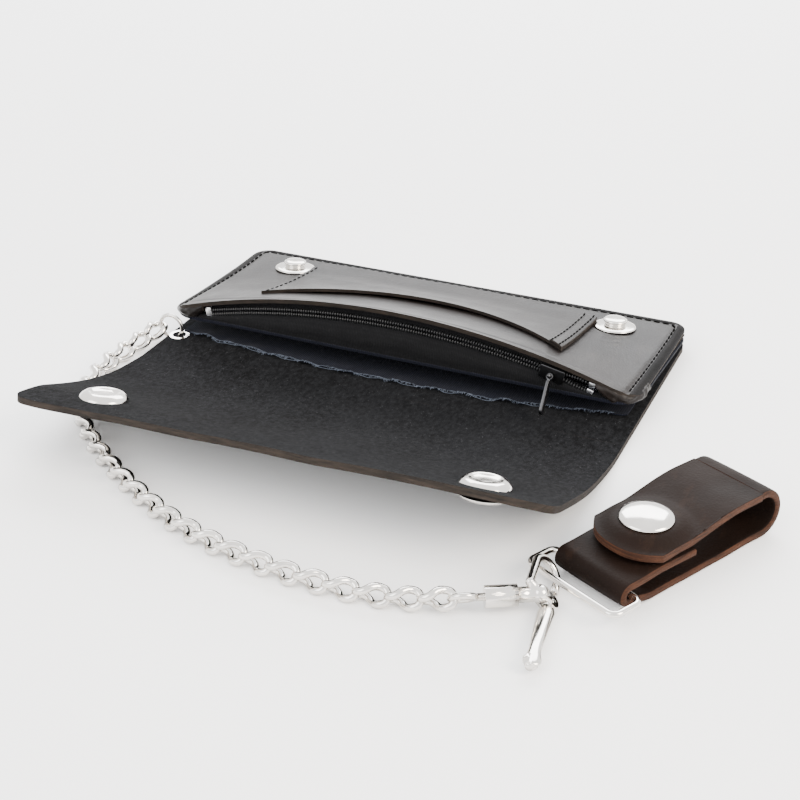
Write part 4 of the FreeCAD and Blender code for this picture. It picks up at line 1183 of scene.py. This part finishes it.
def strap_path():
    """The belt loop's long profile, (s, z) at the leather's middle, from the tucked end round."""
    path = [(s, ROLL + 0.3 * math.sin(s / 9)) for s in steps(RETURN, 0.01, 14)]
    path += [(-ROLL * math.sin(a), ROLL * math.cos(a)) for a in steps(0.1, math.pi - 0.1, 14)]
    fall = steps(0, 1, 8)
    path += [(1 + 8 * t, -ROLL + (LOW_MID + ROLL) * (t * t * (3 - 2 * t))) for t in fall]
    path += [(s, LOW_MID) for s in steps(11, STRAP_LONG - 1, 22)]
    centre = LOW_MID + FOLD_R
    for a in steps(0.02, math.pi, 22):
        path.append((STRAP_LONG + FOLD_R * math.sin(a), centre - FOLD_R * math.cos(a)))
    path.append((STRAP_LONG - 1.3, centre + FOLD_R))
    return path


def ribbon(name, path, materials):
    """A strap swept along its profile, with rounded edges that show the cut hide."""
    half, t = STRAP_WIDE / 2, STRAP_THICK / 2
    section = [(-half, -t * 0.55), (-half, t * 0.55), (-half + 0.5, t * 0.93), (-half + 1.3, t)]
    section += [(q, t + 0.12 * math.cos(q / half * 1.5)) for q in steps(-half + 4, half - 4, 6)]
    section += [(half - 1.3, t), (half - 0.5, t * 0.93), (half, t * 0.55), (half, -t * 0.55)]
    section += [(half - 0.5, -t * 0.93), (half - 1.3, -t), (-half + 1.3, -t), (-half + 0.5, -t * 0.93)]
    count = len(section)
    vertices, faces, slots = [], [], []
    for i, (s, z) in enumerate(path):
        before, after = path[max(i - 1, 0)], path[min(i + 1, len(path) - 1)]
        way = Vector((after[0] - before[0], 0, after[1] - before[1])).normalized()
        out = Vector((-way.z, 0, way.x))
        for q, r in section:
            vertices.append(on_strap(s + out.x * -r, q + wobble(s, z, 0.35, 11, 3), z - out.z * r))
    for i in range(len(path) - 1):
        for k in range(count):
            m = (k + 1) % count
            faces.append((i * count + k, i * count + m, (i + 1) * count + m, (i + 1) * count + k))
            q0, q1 = section[k][0], section[m][0]
            slots.append(1 if min(abs(q0), abs(q1)) > half - 1.0 else 0)
    faces.append(tuple(range(count))[::-1])
    faces.append(tuple((len(path) - 1) * count + k for k in range(count)))
    slots += [1, 1]
    obj = finished(name, vertices, faces, materials, slots)
    outward(obj)
    return obj


strap_piece = ribbon("belt_loop_leather", strap_path(), [brown_leather, brown_edge])
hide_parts("strap_base")
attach(strap_piece, "strap")

TAB_END = 5.0
tab_mid_z = tab_hinge.z - strap_origin.z


def tab_point(u, v, over):
    """The tab from its fold to its rounded end; v runs across it."""
    q = v * STRAP_WIDE / 2
    end = TAB_END + 6.9 * abs(v) ** 2.6
    s = TAB_FLAT + (end - TAB_FLAT) * u
    press = -0.5 * math.exp(-((s - 19) ** 2) / 160)
    far_from_snap = max(0, math.hypot(s - 19, q) - 8.2)
    droop = gentle(far_from_snap / 6) * gentle((46 - s) / 26)
    tip = -2.6 * droop
    z = tab_mid_z + (press + tip + 0.5 * math.sin(u * math.pi * 0.9)) + (0.5 if over else -0.5) * STRAP_THICK
    return on_strap(s, q, z)


tab_piece = sheet_of(
    "belt_loop_tab",
    steps(0, 1, 40),
    crowded(-1, 1, 22),
    lambda u, v: tab_point(u, v, True),
    lambda u, v: tab_point(u, v, False),
    [brown_leather, brown_leather, brown_edge],
)
outward(tab_piece)
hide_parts("strap_tab")
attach(tab_piece, "tab")

up = Vector((0, 0, 1))
SNAP_AT = 19.0
for node, profile, at, axis, body in (
    ("strap_snap_cap", CAP, on_strap(SNAP_AT, 0, tab_mid_z + STRAP_THICK / 2), up, "tab"),
    ("strap_snap_socket", SOCKET, on_strap(SNAP_AT, 0, tab_mid_z - STRAP_THICK / 2), -up, "tab"),
    ("strap_snap_stud", STUD, on_strap(SNAP_AT, 0, ROLL + STRAP_THICK / 2), up, "strap"),
):
    piece = turned_piece(node + "_button", profile, at, axis, nickel, 64)
    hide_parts(node)
    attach(piece, body)

for item in items:
    bpy.data.objects.remove(item)

# --- floor, light and camera -----------------------------------------------------------------
floor_finish = Finish("paper_floor", Roughness=0.9, Specular_IOR_Level=0.1)
paper_tones = ((0.3, (0.985, 0.985, 0.99)), (0.7, (0.995, 0.99, 0.985)))
floor_finish.paint(floor_finish.ramp(floor_finish.grain(3, 2), *paper_tones))
far = 4000
floor_corners = [(-far, -far, 0), (far, -far, 0), (far, far, 0), (-far, far, 0)]
ground = finished("floor", floor_corners, [(0, 1, 2, 3)], [floor_finish.material])


def softbox(name, place, aim, size, watts, colour):
    light = bpy.data.lights.new(name, "AREA")
    light.shape = "RECTANGLE"
    light.size, light.size_y = size
    light.energy = watts
    light.color = colour
    obj = bpy.data.objects.new(name, light)
    obj.location = place
    obj.rotation_euler = (Vector(aim) - Vector(place)).to_track_quat("-Z", "Y").to_euler()
    bpy.context.scene.collection.objects.link(obj)


softbox("back_window", (-0.25, 0.95, 0.75), (0, 0.02, 0), (1.2, 0.7), 26, (0.97, 0.98, 1.0))
softbox("side_lamp", (0.85, -0.15, 0.6), (0.05, -0.03, 0), (0.5, 0.5), 13, (1.0, 0.9, 0.78))
softbox("front_fill", (-0.5, -0.9, 0.8), (0, 0, 0), (0.8, 0.8), 9, (1.0, 1.0, 1.0))

world = bpy.data.worlds.new("studio")
world.use_nodes = True
world.node_tree.nodes["Background"].inputs["Color"].default_value = (1, 1, 1, 1)
world.node_tree.nodes["Background"].inputs["Strength"].default_value = 2.6
bpy.context.scene.world = world

AZIMUTH, ELEVATION, DISTANCE = math.radians(23.671), math.radians(28.841), 508.93
target = Vector((8.414, -9.875, 0))
flat = math.cos(ELEVATION)
offset = Vector((math.sin(AZIMUTH) * flat, -math.cos(AZIMUTH) * flat, math.sin(ELEVATION)))
camera_data = bpy.data.cameras.new("camera")
camera_data.sensor_width = 36
camera_data.lens = 67.26
camera_data.clip_start = 0.01
camera = bpy.data.objects.new("camera", camera_data)
camera.location = (target + offset * DISTANCE) * MM
camera.rotation_euler = (-offset).to_track_quat("-Z", "Y").to_euler()
bpy.context.scene.collection.objects.link(camera)
bpy.context.scene.camera = camera
